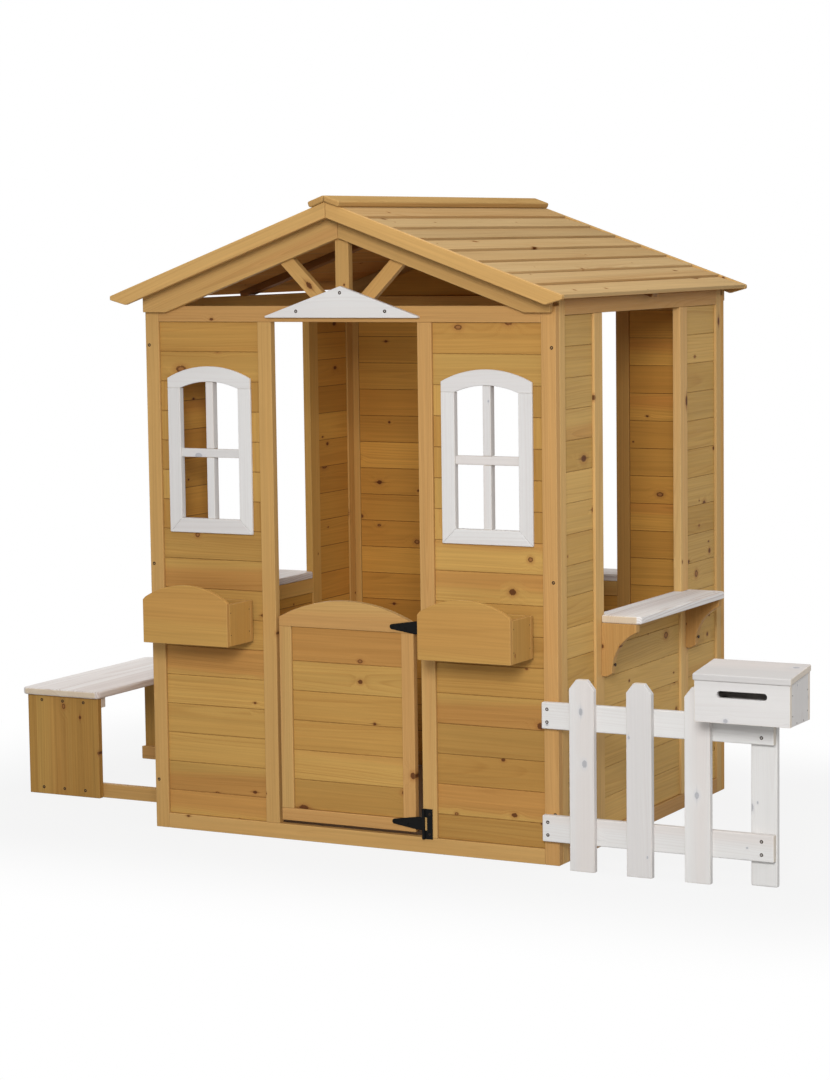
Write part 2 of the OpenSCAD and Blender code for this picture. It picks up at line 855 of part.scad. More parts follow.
module rear_boards() {
    color(wood) placed() on_rear() {
        open_boards(house_w, wall_h, header_h, frame_w, frame_w, rear_open_x, rear_open_end);
        gable_courses();
    }
}

module rear_shelf() {
    color(white) placed() on_rear() shelf(rear_open_x, rear_open_end, shelf_lap_rear, shelf_lap_rear);
}

module rear_brackets() {
    color(wood) placed() on_rear() brackets(rear_open_x, rear_open_end, shelf_lap_rear, shelf_lap_rear);
}

module slope_boards() {
    for (i = [0 : roof_boards_n - 1]) {
        s0 = ridge_gap + i * roof_step + board_gap / 2;
        s1 = ridge_gap + (i + 1) * roof_step - board_gap / 2;
        // The top board is flat, so that the ridge boards lie on it
        butt = i == 0 ? ridge_n : roof_butt;
        tail = i == 0 ? ridge_n : roof_tail;
        on_slope() along_y(-roof_front, roof_rear)
            polygon([[s0, 0], [s1, 0], [s1, butt], [s0, tail]]);
    }
}

module roof_boards_right() {
    color(wood) placed() slope_boards();
}

module roof_boards_left() {
    color(wood) placed() translate([house_w, 0, 0]) mirror([1, 0, 0]) slope_boards();
}

module barge_profile() {
    top = ridge_z + barge_up;
    bottom = top - barge_v;
    g = apex_gap / 2;
    tip = top - slope * roof_half;
    cut = roof_half - barge_cut;
    translate([mid, 0]) polygon([[g, bottom - slope * g], [cut, bottom - slope * cut],
        [roof_half, tip - barge_tip], [roof_half, tip], [g, top - slope * g]]);
}

module barge_boards() {
    color(wood) placed() both_sides() {
        along_y(-roof_front - barge_t, -roof_front) barge_profile();
        along_y(roof_rear, roof_rear + barge_t) barge_profile();
    }
}

module roof_battens() {
    y = (house_d - batten_w) / 2;
    color(wood) placed() both_sides() on_slope()
        block(batten_start, batten_end, y, y + batten_w, -batten_t, 0);
}

module ridge_boards() {
    low = ridge_n;
    high = ridge_n + ridge_t;
    g = apex_gap / 2;
    color(wood) placed() both_sides() on_slope()
        along_y(-roof_front - barge_t - ridge_over, roof_rear + barge_t)
            polygon([[g - low * slope, low], [ridge_w, low], [ridge_w, high], [g - high * slope, high]]);
}

module planter_fronts() {
    half = planter_w / 2;
    side = planter_z + planter_h;
    inner = half - planter_corner;
    arc_z = planter_arc_z + sqrt(pow(planter_r, 2) - pow(inner, 2));
    top = side + planter_arch;
    color(wood) placed() both_sides() along_y(planter_front, planter_front + planter_t)
        translate([panel_mid_l, 0]) intersection() {
            polygon([[-half, planter_z], [half, planter_z], [half, arc_z - planter_corner],
                [inner, arc_z], [inner, top], [-inner, top], [-inner, arc_z],
                [-half, arc_z - planter_corner]]);
            translate([0, planter_arc_z]) circle(planter_r);
        }
}

module planter_sides() {
    half = planter_w / 2;
    color(wood) placed() both_sides() translate([panel_mid_l, 0, 0])
        for (side = [0, 1]) mirror([side, 0, 0])
            block(planter_in, half, planter_front + planter_t, planter_back - planter_t,
                planter_z, planter_z + planter_h - planter_corner);
}

module planter_backs() {
    color(wood) placed() both_sides() translate([panel_mid_l, 0, 0])
        block(-planter_w / 2, planter_w / 2, planter_back - planter_t, planter_back,
            planter_z, planter_z + planter_h - planter_corner);
}

module planter_bottoms() {
    color(wood) placed() both_sides() translate([panel_mid_l, 0, 0])
        block(-planter_in, planter_in, planter_front + planter_t, planter_back - planter_t,
            planter_z, planter_z + planter_t);
}

module planter_hangers() {
    color(wood) placed() both_sides() translate([panel_mid_l, 0, 0])
        block(-hanger_w / 2, hanger_w / 2, planter_back, board_recess, hanger_z, hanger_z + hanger_h);
}

module bench_seat() {
    color(white) placed() translate([bench_far, bench_y, seat_z]) union() {
        translate([seat_r, 0, 0]) cube([seat_w - 2 * seat_r, seat_len, seat_t]);
        translate([0, seat_r, 0]) cube([seat_w, seat_len - 2 * seat_r, seat_t]);
        for (x = [seat_r, seat_w - seat_r], y = [seat_r, seat_len - seat_r])
            translate([x, y, 0]) cylinder(r = seat_r, h = seat_t);
    }
}

module bench_legs() {
    color(wood) placed() for (y = leg_y)
        block(leg_far, leg_near, y, y + leg_t, 0, seat_z);
}

module bench_cleats() {
    color(white) placed() for (y = [inner_y[0], inner_y[1] - cleat_t])
        block(leg_far, leg_near, y, y + cleat_t, seat_z - cleat_h, seat_z);
}

module bench_stretchers() {
    color(wood) placed() for (y = [inner_y[0], inner_y[1] - stretcher_t])
        block(leg_far, 0, y, y + stretcher_t, 0, stretcher_h);
}

module fence_rails() {
    color(white) placed() for (z = rails_z)
        block(house_w - fence_lap, rail_end, -fence_t, 0, z, z + fence_w);
}

module fence_pickets() {
    half = fence_w / 2;
    flat = picket_top_w / 2;
    color(white) placed() for (i = [0 : picket_n - 1])
        along_y(-fence_t - picket_t, -fence_t)
            translate([house_w + picket_start + i * picket_pitch + half, 0])
                polygon([[-half, 0], [half, 0], [half, picket_h - picket_point], [flat, picket_h],
                    [-flat, picket_h], [-half, picket_h - picket_point]]);
}

module fence_post() {
    color(white) placed() block(post_x, post_x + fence_w, 0, fence_t, 0, post_h);
}

module mailbox_front() {
    y0 = -mailbox_d;
    y1 = mailbox_t - mailbox_d;
    half = (slot_w - slot_h) / 2;
    color(white) placed() difference() {
        along_x(mailbox_l, mailbox_r)
            polygon([[y0, mailbox_z], [y1, mailbox_z], [y1, mailbox_top(y1)], [y0, mailbox_top(y0)]]);
        along_y(y0 - 1, y1 + 1) translate([mailbox_mid, mailbox_z + slot_up]) union() {
            square([2 * half, slot_h], center = true);
            for (x = [-half, half]) translate([x, 0]) circle(slot_h / 2);
        }
    }
}

module mailbox_sides() {
    y0 = mailbox_t - mailbox_d;
    y1 = -mailbox_t;
    color(white) placed() for (x = [mailbox_l, mailbox_r - mailbox_t])
        along_x(x, x + mailbox_t)
            polygon([[y0, mailbox_z], [y1, mailbox_z], [y1, mailbox_top(y1)], [y0, mailbox_top(y0)]]);
}

module mailbox_back() {
    y0 = -mailbox_t;
    color(white) placed() along_x(mailbox_l, mailbox_r)
        polygon([[y0, mailbox_z], [0, mailbox_z], [0, mailbox_top(0)], [y0, mailbox_top(y0)]]);
}

module mailbox_bottom() {
    color(white) placed() block(mailbox_l + mailbox_t, mailbox_r - mailbox_t,
        mailbox_t - mailbox_d, -mailbox_t, mailbox_z, mailbox_z + mailbox_t);
}

module mailbox_lid() {
    y0 = -mailbox_d - lid_front;
    low = mailbox_top(y0) + lid_gap;
    high = mailbox_top(0) + lid_gap;
    color(white) placed() along_x(mailbox_l - lid_side, mailbox_r + lid_side)
        polygon([[y0, low], [0, high], [0, high + lid_plumb], [y0, low + lid_plumb]]);
}

// Places a lid hinge: the middle of its barrel's axis is the origin
module lid_hinges() {
    for (x = [-lid_hinge_span / 2, lid_hinge_span / 2])
        translate([mailbox_mid + x, lid_axis_y, mailbox_back_z]) children();
}

module lid_knuckle_at(x0, x1) {
    translate([x0, 0, 0]) rotate([0, 90, 0]) cylinder(r = lid_barrel_r, h = x1 - x0);
}

module lid_bore() {
    translate([-lid_hinge_w, 0, 0]) rotate([0, 90, 0]) cylinder(r = lid_bore_r, h = 2 * lid_hinge_w);
}

module lid_hinge_leaves() {
    half = lid_hinge_w / 2;
    k = lid_knuckle / 2;
    low = lid_barrel_r + 0.5;
    y0 = -lid_axis_y;
    color(black) placed() lid_hinges() difference() {
        union() {
            block(-half, half, y0, y0 + lid_leaf_t, low, lid_gap + lid_plumb - 1);
            block(-k, k, y0, y0 + lid_leaf_t, lid_gap + 0.1, low + 1);
            block(-k, k, y0 + 0.4, y0 + lid_leaf_t, 0, low);
            lid_knuckle_at(-k, k);
        }
        lid_bore();
    }
}

module box_hinge_leaves() {
    half = lid_hinge_w / 2;
    k = lid_knuckle / 2 + knuckle_gap;
    low = -lid_barrel_r - 0.5;
    y0 = -lid_axis_y;
    color(black) placed() lid_hinges() difference() {
        union() {
            block(-half, half, y0, y0 + lid_leaf_t, -lid_leaf_h, low);
            for (side = [0, 1]) mirror([side, 0, 0]) {
                block(k, half, y0, y0 + lid_leaf_t, low - 1, -0.1);
                lid_knuckle_at(k, half);
            }
        }
        lid_bore();
    }
}

module lid_hinge_pins() {
    half = lid_hinge_w / 2;
    color(black) placed() lid_hinges()
        translate([-half, 0, 0]) rotate([0, 90, 0]) cylinder(r = lid_pin_r, h = lid_hinge_w);
}

module on_door() {
    translate([0, -door_proud, 0]) children();
}

module door_stiles() {
    color(wood) placed() on_door() for (x = [door_l, door_r - door_stile_w])
        block(x, x + door_stile_w, 0, door_t, door_rail_z, door_top_z);
}

module door_rails() {
    color(wood) placed() on_door() {
        block(door_l, door_r, 0, door_t, door_z, door_rail_z);
        along_y(0, door_t) translate([door_mid, door_top_z]) intersection() {
            translate([-door_half, 0]) square([2 * door_half, door_shoulder + door_arch]);
            translate([0, door_shoulder + door_arch - door_arc]) circle(door_arc);
        }
    }
}

// Boards at the wall's pitch from the bottom rail up, with the rest in the top one
module door_boards() {
    n = round((door_top_z - door_rail_z) / board_pitch);
    y0 = door_recess;
    y1 = door_recess + door_board_t;
    b = board_bevel;
    color(wood) placed() on_door() for (i = [0 : n - 1]) {
        z0 = door_rail_z + i * board_pitch + board_gap / 2;
        z1 = (i == n - 1 ? door_top_z : door_rail_z + (i + 1) * board_pitch) - board_gap / 2;
        along_x(door_l + door_stile_w, door_r - door_stile_w)
            polygon([[y0, z0 + b], [y0 + b, z0], [y1, z0], [y1, z1], [y0 + b, z1], [y0, z1 - b]]);
    }
}

module door_straps() {
    half = strap_h / 2;
    tip = strap_tip_h / 2;
    color(black) placed() for (z = hinge_zs)
        translate([hinge_x, 0, z]) difference() {
            union() {
                on_door() along_y(-hinge_t, 0) union() {
                    polygon([[0, -half], [0, half], [-strap_neck, half], [tip - strap_len, tip],
                        [tip - strap_len, -tip], [-strap_neck, -half]]);
                    translate([tip - strap_len, 0]) circle(tip);
                }
                translate([0, hinge_y, -half]) cylinder(r = barrel_r, h = strap_h);
            }
            translate([0, hinge_y, -strap_h]) cylinder(r = bore_r, h = 2 * strap_h);
        }
}

module door_plates() {
    low = strap_h / 2 + knuckle_gap;
    color(black) placed() for (z = hinge_zs)
        translate([hinge_x, 0, z]) difference() {
            union() {
                block(plate_off, plate_off + plate_w, -hinge_t, 0, -plate_h / 2, plate_h / 2);
                for (side = [0, 1]) mirror([0, 0, side]) {
                    block(0, plate_off + 1, -hinge_t, 0, low, low + plate_knuckle_h);
                    translate([0, hinge_y, low]) cylinder(r = barrel_r, h = plate_knuckle_h);
                }
            }
            translate([0, hinge_y, -plate_h]) cylinder(r = bore_r, h = 2 * plate_h);
        }
}

module door_pins() {
    half = strap_h / 2 + knuckle_gap + plate_knuckle_h;
    color(black) placed() for (z = hinge_zs)
        translate([hinge_x, hinge_y, z - half]) cylinder(r = pin_r, h = 2 * half);
}

module wood_screws() {
    edge = frame_t / 2;
    ped_z = wall_h - pediment_drop;
    color(steel) placed() {
        both_ends() both_sides() for (z = [corner_low, corner_mid, wall_h - corner_high])
            screw_in(edge, 0, z, frame_t + screw_bite);
        both_sides() screw_in(mid - pediment_screw_x, -pediment_t, ped_z + pediment_screw_z,
            pediment_t + screw_bite);
        screw_in(mid, -pediment_t, ped_z + pediment_screw_top, pediment_t + screw_bite);
        for (x = [house_w - fence_lap * 0.6, post_mid], z = rails_z, s = [-1, 1])
            screw_in(x, -fence_t, z + (fence_w + s * rail_screw_gap) / 2, fence_t + screw_bite);
        for (x = [-1, 0, 1], z = [seat_z - cleat_h / 2, stretcher_h / 2]) {
            screw_in(leg_mid + x * leg_screw_gap, leg_y[0], z, leg_t + screw_bite);
            translate([leg_mid + x * leg_screw_gap, leg_y[1] + leg_t, z]) rotate([90, 0, 0])
                screw(leg_t + screw_bite);
        }
        on_right() side_bracket_screws();
        on_left() side_bracket_screws();
        on_rear() bracket_screws(rear_open_x, rear_open_end, shelf_lap_rear, shelf_lap_rear);
        for (z = hinge_zs, s = [-1, 1])
            hinge_screw(hinge_x + plate_off + plate_w / 2, z + s * plate_h / 3, screw_bite);
        for (side = [0, 1]) translate([mailbox_mid, 0, 0]) mirror([side, 0, 0]) mailbox_nails();
        both_sides() for (side = [0, 1]) translate([panel_mid_l, 0, 0]) mirror([side, 0, 0])
            side_brads(planter_w / 2, planter_front + planter_t, planter_back - planter_t,
                planter_z, planter_h);
    }
}

// A nail driven flush into a face at X
module nail(x, y, z, length) {
    translate([x, y, z]) rotate([0, -90, 0]) cylinder(r = nail_r, h = length);
}

// Brads near both ends of a box's side that faces X
module side_brads(x, y0, y1, z, height) {
    for (y = [y0 + brad_in, y1 - brad_in], k = [1, 3])
        nail(x, y, z + height * k / 4, brad_len);
}

// Nails in one side of the mailbox, measured from its middle
module mailbox_nails() {
    x = mailbox_w / 2;
    side_brads(x, mailbox_t - mailbox_d, -mailbox_t, mailbox_z, mailbox_h);
    for (k = [1, 2]) nail(x, -mailbox_d * k / 3, mailbox_z + mailbox_t / 2, nail_len);
}

module door_screws() {
    color(black) placed() on_door() for (z = hinge_zs, i = [0 : 2])
        hinge_screw(hinge_x - strap_len + strap_screw_in + i * strap_screw_pitch,
            z + [0, strap_screw_off, -strap_screw_off][i], screw_bite);
}

front_stiles();
front_rails();
front_boards_left();
front_boards_right();
window_heads();
window_jambs();
window_sills();
window_bars();
gable_rafters();
gable_posts();
gable_braces();
pediment();
right_stiles();
right_rails();
right_boards();
right_shelf();
right_brackets();
left_stiles();
left_rails();
left_boards();
left_shelf();
left_brackets();
rear_stiles();
rear_rails();
rear_boards();
rear_shelf();
rear_brackets();
roof_boards_left();
roof_boards_right();
barge_boards();
roof_battens();
ridge_boards();
planter_fronts();
planter_sides();
planter_backs();
planter_bottoms();
planter_hangers();
bench_seat();
bench_legs();
bench_cleats();
bench_stretchers();
fence_rails();
fence_pickets();
fence_post();
mailbox_front();
mailbox_sides();
mailbox_back();
mailbox_bottom();
mailbox_lid();
lid_hinge_leaves();
box_hinge_leaves();
lid_hinge_pins();
door_stiles();
door_rails();
door_boards();
door_straps();
door_plates();
door_pins();
wood_screws();
door_screws();
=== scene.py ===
import json
import math
import random
import bpy
import numpy as np
from mathutils import Matrix, Vector


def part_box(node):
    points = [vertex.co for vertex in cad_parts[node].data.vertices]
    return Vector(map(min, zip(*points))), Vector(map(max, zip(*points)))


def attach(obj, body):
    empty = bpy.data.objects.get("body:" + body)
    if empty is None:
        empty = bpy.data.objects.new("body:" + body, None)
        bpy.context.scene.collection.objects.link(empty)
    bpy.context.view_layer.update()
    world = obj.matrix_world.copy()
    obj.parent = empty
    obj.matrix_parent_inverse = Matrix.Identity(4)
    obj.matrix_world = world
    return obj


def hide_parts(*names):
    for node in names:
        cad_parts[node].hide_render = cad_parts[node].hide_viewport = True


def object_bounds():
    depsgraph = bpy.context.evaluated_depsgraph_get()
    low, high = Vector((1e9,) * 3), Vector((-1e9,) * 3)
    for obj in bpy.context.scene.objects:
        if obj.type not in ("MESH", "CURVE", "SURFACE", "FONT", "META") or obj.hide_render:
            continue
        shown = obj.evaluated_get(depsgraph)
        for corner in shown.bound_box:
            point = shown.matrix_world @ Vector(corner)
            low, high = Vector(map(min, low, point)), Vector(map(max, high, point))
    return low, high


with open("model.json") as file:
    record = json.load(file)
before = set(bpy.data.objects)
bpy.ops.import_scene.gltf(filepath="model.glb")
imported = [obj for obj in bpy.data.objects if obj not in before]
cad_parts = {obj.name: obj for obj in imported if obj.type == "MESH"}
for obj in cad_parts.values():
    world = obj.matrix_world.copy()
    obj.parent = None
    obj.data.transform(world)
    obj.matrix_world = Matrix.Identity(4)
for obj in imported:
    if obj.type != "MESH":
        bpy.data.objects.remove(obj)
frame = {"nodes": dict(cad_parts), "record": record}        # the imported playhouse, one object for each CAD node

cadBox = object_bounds()
nodeBody = {node: body for body, nodes in frame["record"]["behaviour"]["bodies"].items() for node in nodes}


# small helpers for node trees
def addNode(tree, kind, **settings):
    node = tree.nodes.new(kind)
    for key, value in settings.items():
        setattr(node, key, value)
    return node


def feed(tree, socket, value):
    if isinstance(value, bpy.types.NodeSocket):
        tree.links.new(value, socket)
    else:
        socket.default_value = value


def calc(tree, operation, *values):
    node = addNode(tree, 'ShaderNodeMath', operation=operation)
    for socket, value in zip(node.inputs, values):
        feed(tree, socket, value)
    return node.outputs[0]


def spread(tree, value, low, high, toLow=0.0, toHigh=1.0):
    node = addNode(tree, 'ShaderNodeMapRange', interpolation_type='SMOOTHSTEP')
    for socket, number in zip(node.inputs, (value, low, high, toLow, toHigh)):
        feed(tree, socket, number)
    return node.outputs[0]


def distance(tree, first, second):
    squares = [calc(tree, 'POWER', value, 2.0) for value in (first, second)]
    return calc(tree, 'SQRT', calc(tree, 'ADD', *squares))


def joinVector(tree, x, y, z):
    node = addNode(tree, 'ShaderNodeCombineXYZ')
    for socket, value in zip(node.inputs, (x, y, z)):
        feed(tree, socket, value)
    return node.outputs[0]


def splitVector(tree, vector):
    node = addNode(tree, 'ShaderNodeSeparateXYZ')
    feed(tree, node.inputs[0], vector)
    return node.outputs[0], node.outputs[1], node.outputs[2]


def readMark(tree, name):
    return splitVector(tree, addNode(tree, 'ShaderNodeAttribute', attribute_name=name).outputs["Vector"])


def noise(tree, vector, detail=2.0, roughness=0.5):
    node = addNode(tree, 'ShaderNodeTexNoise')
    feed(tree, node.inputs["Vector"], vector)
    node.inputs["Scale"].default_value = 1.0
    node.inputs["Detail"].default_value = detail
    node.inputs["Roughness"].default_value = roughness
    return node.outputs["Fac"]


def mixColour(tree, amount, first, second):
    node = addNode(tree, 'ShaderNodeMix', data_type='RGBA')
    feed(tree, node.inputs["Factor"], amount)
    feed(tree, node.inputs[6], first)    # the two colour inputs
    feed(tree, node.inputs[7], second)
    return node.outputs[2]


def srgb(red, green, blue):
    def linear(value):
        value /= 255
        return value / 12.92 if value <= 0.04045 else ((value + 0.055) / 1.055) ** 2.4
    return (linear(red), linear(green), linear(blue), 1.0)


def startGroup(name, given, results):
    tree = bpy.data.node_groups.new(name, 'ShaderNodeTree')
    for direction, names in (('INPUT', given), ('OUTPUT', results)):
        for socketName in names:
            tree.interface.new_socket(socketName, in_out=direction, socket_type='NodeSocketFloat')
    return tree, tree.nodes.new('NodeGroupInput').outputs, tree.nodes.new('NodeGroupOutput').inputs


def placeGroup(tree, group, **values):
    node = addNode(tree, 'ShaderNodeGroup', node_tree=group)
    for key, value in values.items():
        feed(tree, node.inputs[key], value)
    return node.outputs


# knots: one chance for a knot in each cell of a stretched grid on the face of a board
knotShape = {
    "seedAlong": 97.0, "seedAcross": 83.0, "scatter": 0.95,       # the grid moves from board to board
    "smallest": 0.45, "growth": 1.3, "stretch": 0.8,              # radius and extra length along the grain
    "ragScale": 380.0, "ragSeed": 31.0, "ragSpan": 0.6, "ragLow": 0.7,
    "core": (1.1, 0.8), "eye": (0.8, 0.35), "halo": (2.4, 0.9),   # edges, in radii from the middle
    "hollowTurns": 9.0, "hollow": (0.65, 0.75),                   # some knots have a pale eye
    "splitTurns": 5.0, "split": (0.6, 0.65),                      # some have a spike along the grain
    "spikeTaper": 0.1, "spike": (0.75, 0.15),
    "liftReach": 5.5, "lift": 1.8}                                # growth rings bend round a knot


def makeKnotSpots(look):
    tree, given, result = startGroup(
        "knotSpots", ("along", "across", "size", "share"), ("core", "eye", "halo", "spike", "lift"))
    u, v = readMark(tree, "grain")[:2]
    luckA, luckB, luckC = readMark(tree, "board")
    x = calc(tree, 'MULTIPLY_ADD', luckA, look["seedAlong"], calc(tree, 'DIVIDE', u, given["along"]))
    y = calc(tree, 'MULTIPLY_ADD', luckB, look["seedAcross"], calc(tree, 'DIVIDE', v, given["across"]))
    cells = addNode(tree, 'ShaderNodeTexVoronoi', voronoi_dimensions='2D', feature='F1')
    feed(tree, cells.inputs["Vector"], joinVector(tree, x, y, 0.0))
    cells.inputs["Scale"].default_value = 1.0
    cells.inputs["Randomness"].default_value = look["scatter"]
    centre = splitVector(tree, cells.outputs["Position"])
    colour = addNode(tree, 'ShaderNodeSeparateColor')
    feed(tree, colour.inputs[0], cells.outputs["Color"])
    chance, bulk, kind = colour.outputs[0], colour.outputs[1], colour.outputs[2]
    there = calc(tree, 'LESS_THAN', chance, given["share"])
    awayU = calc(tree, 'MULTIPLY', calc(tree, 'SUBTRACT', x, centre[0]), given["along"])
    awayV = calc(tree, 'MULTIPLY', calc(tree, 'SUBTRACT', y, centre[1]), given["across"])
    share = calc(tree, 'MULTIPLY_ADD', calc(tree, 'POWER', bulk, 2.0), look["growth"], look["smallest"])
    radius = calc(tree, 'MULTIPLY', given["size"], share)
    stretch = calc(tree, 'MULTIPLY_ADD', kind, look["stretch"], 1.0)
    away = distance(tree, calc(tree, 'DIVIDE', awayU, stretch), awayV)
    ragged = noise(tree, joinVector(
        tree, calc(tree, 'MULTIPLY', u, look["ragScale"]), calc(tree, 'MULTIPLY', v, look["ragScale"]),
        calc(tree, 'MULTIPLY', luckC, look["ragSeed"])), detail=1.0)
    near = calc(tree, 'MULTIPLY', calc(tree, 'DIVIDE', away, radius),
                calc(tree, 'MULTIPLY_ADD', ragged, look["ragSpan"], look["ragLow"]))

    def some(value, turns, band):
        return spread(tree, calc(tree, 'FRACT', calc(tree, 'MULTIPLY', value, turns)), *band)

    hollow = some(bulk, look["hollowTurns"], look["hollow"])
    split = some(kind, look["splitTurns"], look["split"])
    length = calc(tree, 'DIVIDE', calc(tree, 'ABSOLUTE', awayU), radius)
    width = calc(tree, 'DIVIDE', calc(tree, 'ABSOLUTE', awayV), radius)
    spike = spread(tree, calc(tree, 'MULTIPLY_ADD', length, look["spikeTaper"], width), *look["spike"])
    masks = {"core": spread(tree, near, *look["core"]),
             "eye": calc(tree, 'MULTIPLY', spread(tree, near, *look["eye"]), hollow),
             "halo": spread(tree, near, *look["halo"]),
             "spike": calc(tree, 'MULTIPLY', spike, split),
             "lift": calc(tree, 'MULTIPLY', spread(tree, near, look["liftReach"], 0.0),
                          calc(tree, 'MULTIPLY', radius, look["lift"]))}
    for name, mask in masks.items():
        feed(tree, result[name], calc(tree, 'MULTIPLY', mask, there))
    return tree


# growth rings about a pith that lies off the board, with streaks and fibres along it
ringShape = {
    "patch": (1.7, 9.0, 61.0), "streak": (2.4, 150.0, 43.0),      # scale along, scale across and seed
    "fibre": (16.0, 800.0, 29.0), "clear": (1.1, 30.0, 71.0),
    "pithSide": (0.13, -0.065), "pithDeep": (-0.06, -0.012),      # span and start, in metres
    "taper": (0.06, -0.03), "wobble": 0.024,
    "yearScale": 90.0, "yearSeed": 17.0, "yearSpan": 3.0,         # good and bad years
    "clearBand": (0.35, 0.65, 0.2, 1.0),                          # rings fade out here and there
    "lateSteps": ((0.0, 0.0), (0.5, 0.2), (0.86, 1.0), (1.0, 0.05)),
    "heartRim": (0.1, -0.02), "heartStreak": 0.016, "heartSoft": 0.012}


def makeGrowthRings(look):
    tree, given, result = startGroup(
        "growthRings", ("spacing", "lift"), ("ring", "streak", "fibre", "patch", "heart"))
    u, v, w = readMark(tree, "grain")
    luckA, luckB, luckC = readMark(tree, "board")

    def stretched(alongScale, acrossScale, seed):
        return joinVector(
            tree, calc(tree, 'MULTIPLY_ADD', u, alongScale, calc(tree, 'MULTIPLY', luckA, seed)),
            calc(tree, 'MULTIPLY_ADD', v, acrossScale, calc(tree, 'MULTIPLY', luckB, seed)),
            calc(tree, 'MULTIPLY', w, acrossScale))

    patch = noise(tree, stretched(*look["patch"]))
    streak = noise(tree, stretched(*look["streak"]), detail=3.0, roughness=0.6)
    fibre = noise(tree, stretched(*look["fibre"]))
    clear = spread(tree, noise(tree, stretched(*look["clear"])), *look["clearBand"])
    pithV = calc(tree, 'MULTIPLY_ADD', luckB, *look["pithSide"])
    pithW = calc(tree, 'MULTIPLY_ADD', luckC, *look["pithDeep"])
    reach = distance(tree, calc(tree, 'SUBTRACT', v, pithV), calc(tree, 'SUBTRACT', w, pithW))
    sway = calc(tree, 'MULTIPLY', calc(tree, 'SUBTRACT', patch, 0.5), look["wobble"])
    taper = calc(tree, 'MULTIPLY', u, calc(tree, 'MULTIPLY_ADD', luckC, *look["taper"]))
    reach = calc(tree, 'ADD', calc(tree, 'ADD', reach, sway), calc(tree, 'ADD', taper, given["lift"]))
    years = noise(tree, joinVector(
        tree, calc(tree, 'MULTIPLY', reach, look["yearScale"]),
        calc(tree, 'MULTIPLY', luckA, look["yearSeed"]), 0.0))
    count = calc(tree, 'DIVIDE', reach, given["spacing"])
    turn = calc(tree, 'FRACT', calc(tree, 'MULTIPLY_ADD', years, look["yearSpan"], count))
    late = addNode(tree, 'ShaderNodeValToRGB')
    while len(late.color_ramp.elements) < len(look["lateSteps"]):
        late.color_ramp.elements.new(0.5)
    for element, (place, grey) in zip(late.color_ramp.elements, look["lateSteps"]):
        element.position = place
        element.color = (grey, grey, grey, 1.0)
    feed(tree, late.inputs[0], turn)
    rim = calc(tree, 'MULTIPLY_ADD', luckA, *look["heartRim"])
    gone = calc(tree, 'SUBTRACT', reach, calc(tree, 'MULTIPLY_ADD', streak, look["heartStreak"], rim))
    masks = {"ring": calc(tree, 'MULTIPLY', late.outputs[0], clear), "streak": streak, "fibre": fibre,
             "patch": patch, "heart": spread(tree, gone, look["heartSoft"], -look["heartSoft"])}
    for name, mask in masks.items():
        feed(tree, result[name], mask)
    return tree


# edges and end faces of a board, from its half sizes
edgeShape = {"roughAlong": 70.0, "roughAcross": 200.0, "roughSpan": 1.6, "roughLow": 0.2,
             "end": (0.0012, 0.0004)}


def makeBoardEdges(look):
    tree, given, result = startGroup("boardEdges", ("reach",), ("edge", "end"))
    u, v, w = readMark(tree, "grain")
    halfU, halfV, halfW = readMark(tree, "half")
    gaps = [calc(tree, 'SUBTRACT', half, calc(tree, 'ABSOLUTE', place))
            for half, place in ((halfU, u), (halfV, v), (halfW, w))]
    lower = calc(tree, 'MINIMUM', gaps[0], gaps[1])
    upper = calc(tree, 'MAXIMUM', gaps[0], gaps[1])
    second = calc(tree, 'MAXIMUM', lower, calc(tree, 'MINIMUM', upper, gaps[2]))   # small near two faces
    rough = noise(tree, joinVector(
        tree, calc(tree, 'MULTIPLY', u, look["roughAlong"]), calc(tree, 'MULTIPLY', v, look["roughAcross"]),
        calc(tree, 'MULTIPLY', w, look["roughAcross"])), detail=3.0)
    share = calc(tree, 'MULTIPLY_ADD', rough, look["roughSpan"], look["roughLow"])
    feed(tree, result["edge"], spread(tree, second, calc(tree, 'MULTIPLY', given["reach"], share), 0.0))
    feed(tree, result["end"], spread(tree, gaps[0], *look["end"]))
    return tree


# glued strips side by side, each with its own tone
stripShape = {"seed": 9.0, "joint": (0.485, 0.5)}


def makeGluedStrips(look):
    tree, given, result = startGroup("gluedStrips", ("width",), ("tone", "joint"))
    v = readMark(tree, "grain")[1]
    start = calc(tree, 'MULTIPLY', readMark(tree, "board")[0], look["seed"])
    place = calc(tree, 'ADD', calc(tree, 'DIVIDE', v, given["width"]), start)
    toneOf = addNode(tree, 'ShaderNodeTexWhiteNoise', noise_dimensions='1D')
    feed(tree, toneOf.inputs["W"], calc(tree, 'FLOOR', place))
    offset = calc(tree, 'ABSOLUTE', calc(tree, 'SUBTRACT', calc(tree, 'FRACT', place), 0.5))
    feed(tree, result["tone"], toneOf.outputs["Value"])
    feed(tree, result["joint"], spread(tree, offset, *look["joint"]))
    return tree


knotSpots = makeKnotSpots(knotShape)
growthRings = makeGrowthRings(ringShape)
boardEdges = makeBoardEdges(edgeShape)
gluedStrips = makeGluedStrips(stripShape)
print("node groups:", len(bpy.data.node_groups))


def startMaterial(name):
    material = bpy.data.materials.new(name)
    material.use_nodes = True
    tree = material.node_tree
    return material, tree, tree.nodes["Principled BSDF"]


def addBump(tree, shader, height, strength, depth):
    bump = addNode(tree, 'ShaderNodeBump')
    bump.inputs["Strength"].default_value = strength
    bump.inputs["Distance"].default_value = depth
    feed(tree, bump.inputs["Height"], height)
    feed(tree, shader.inputs["Normal"], bump.outputs["Normal"])


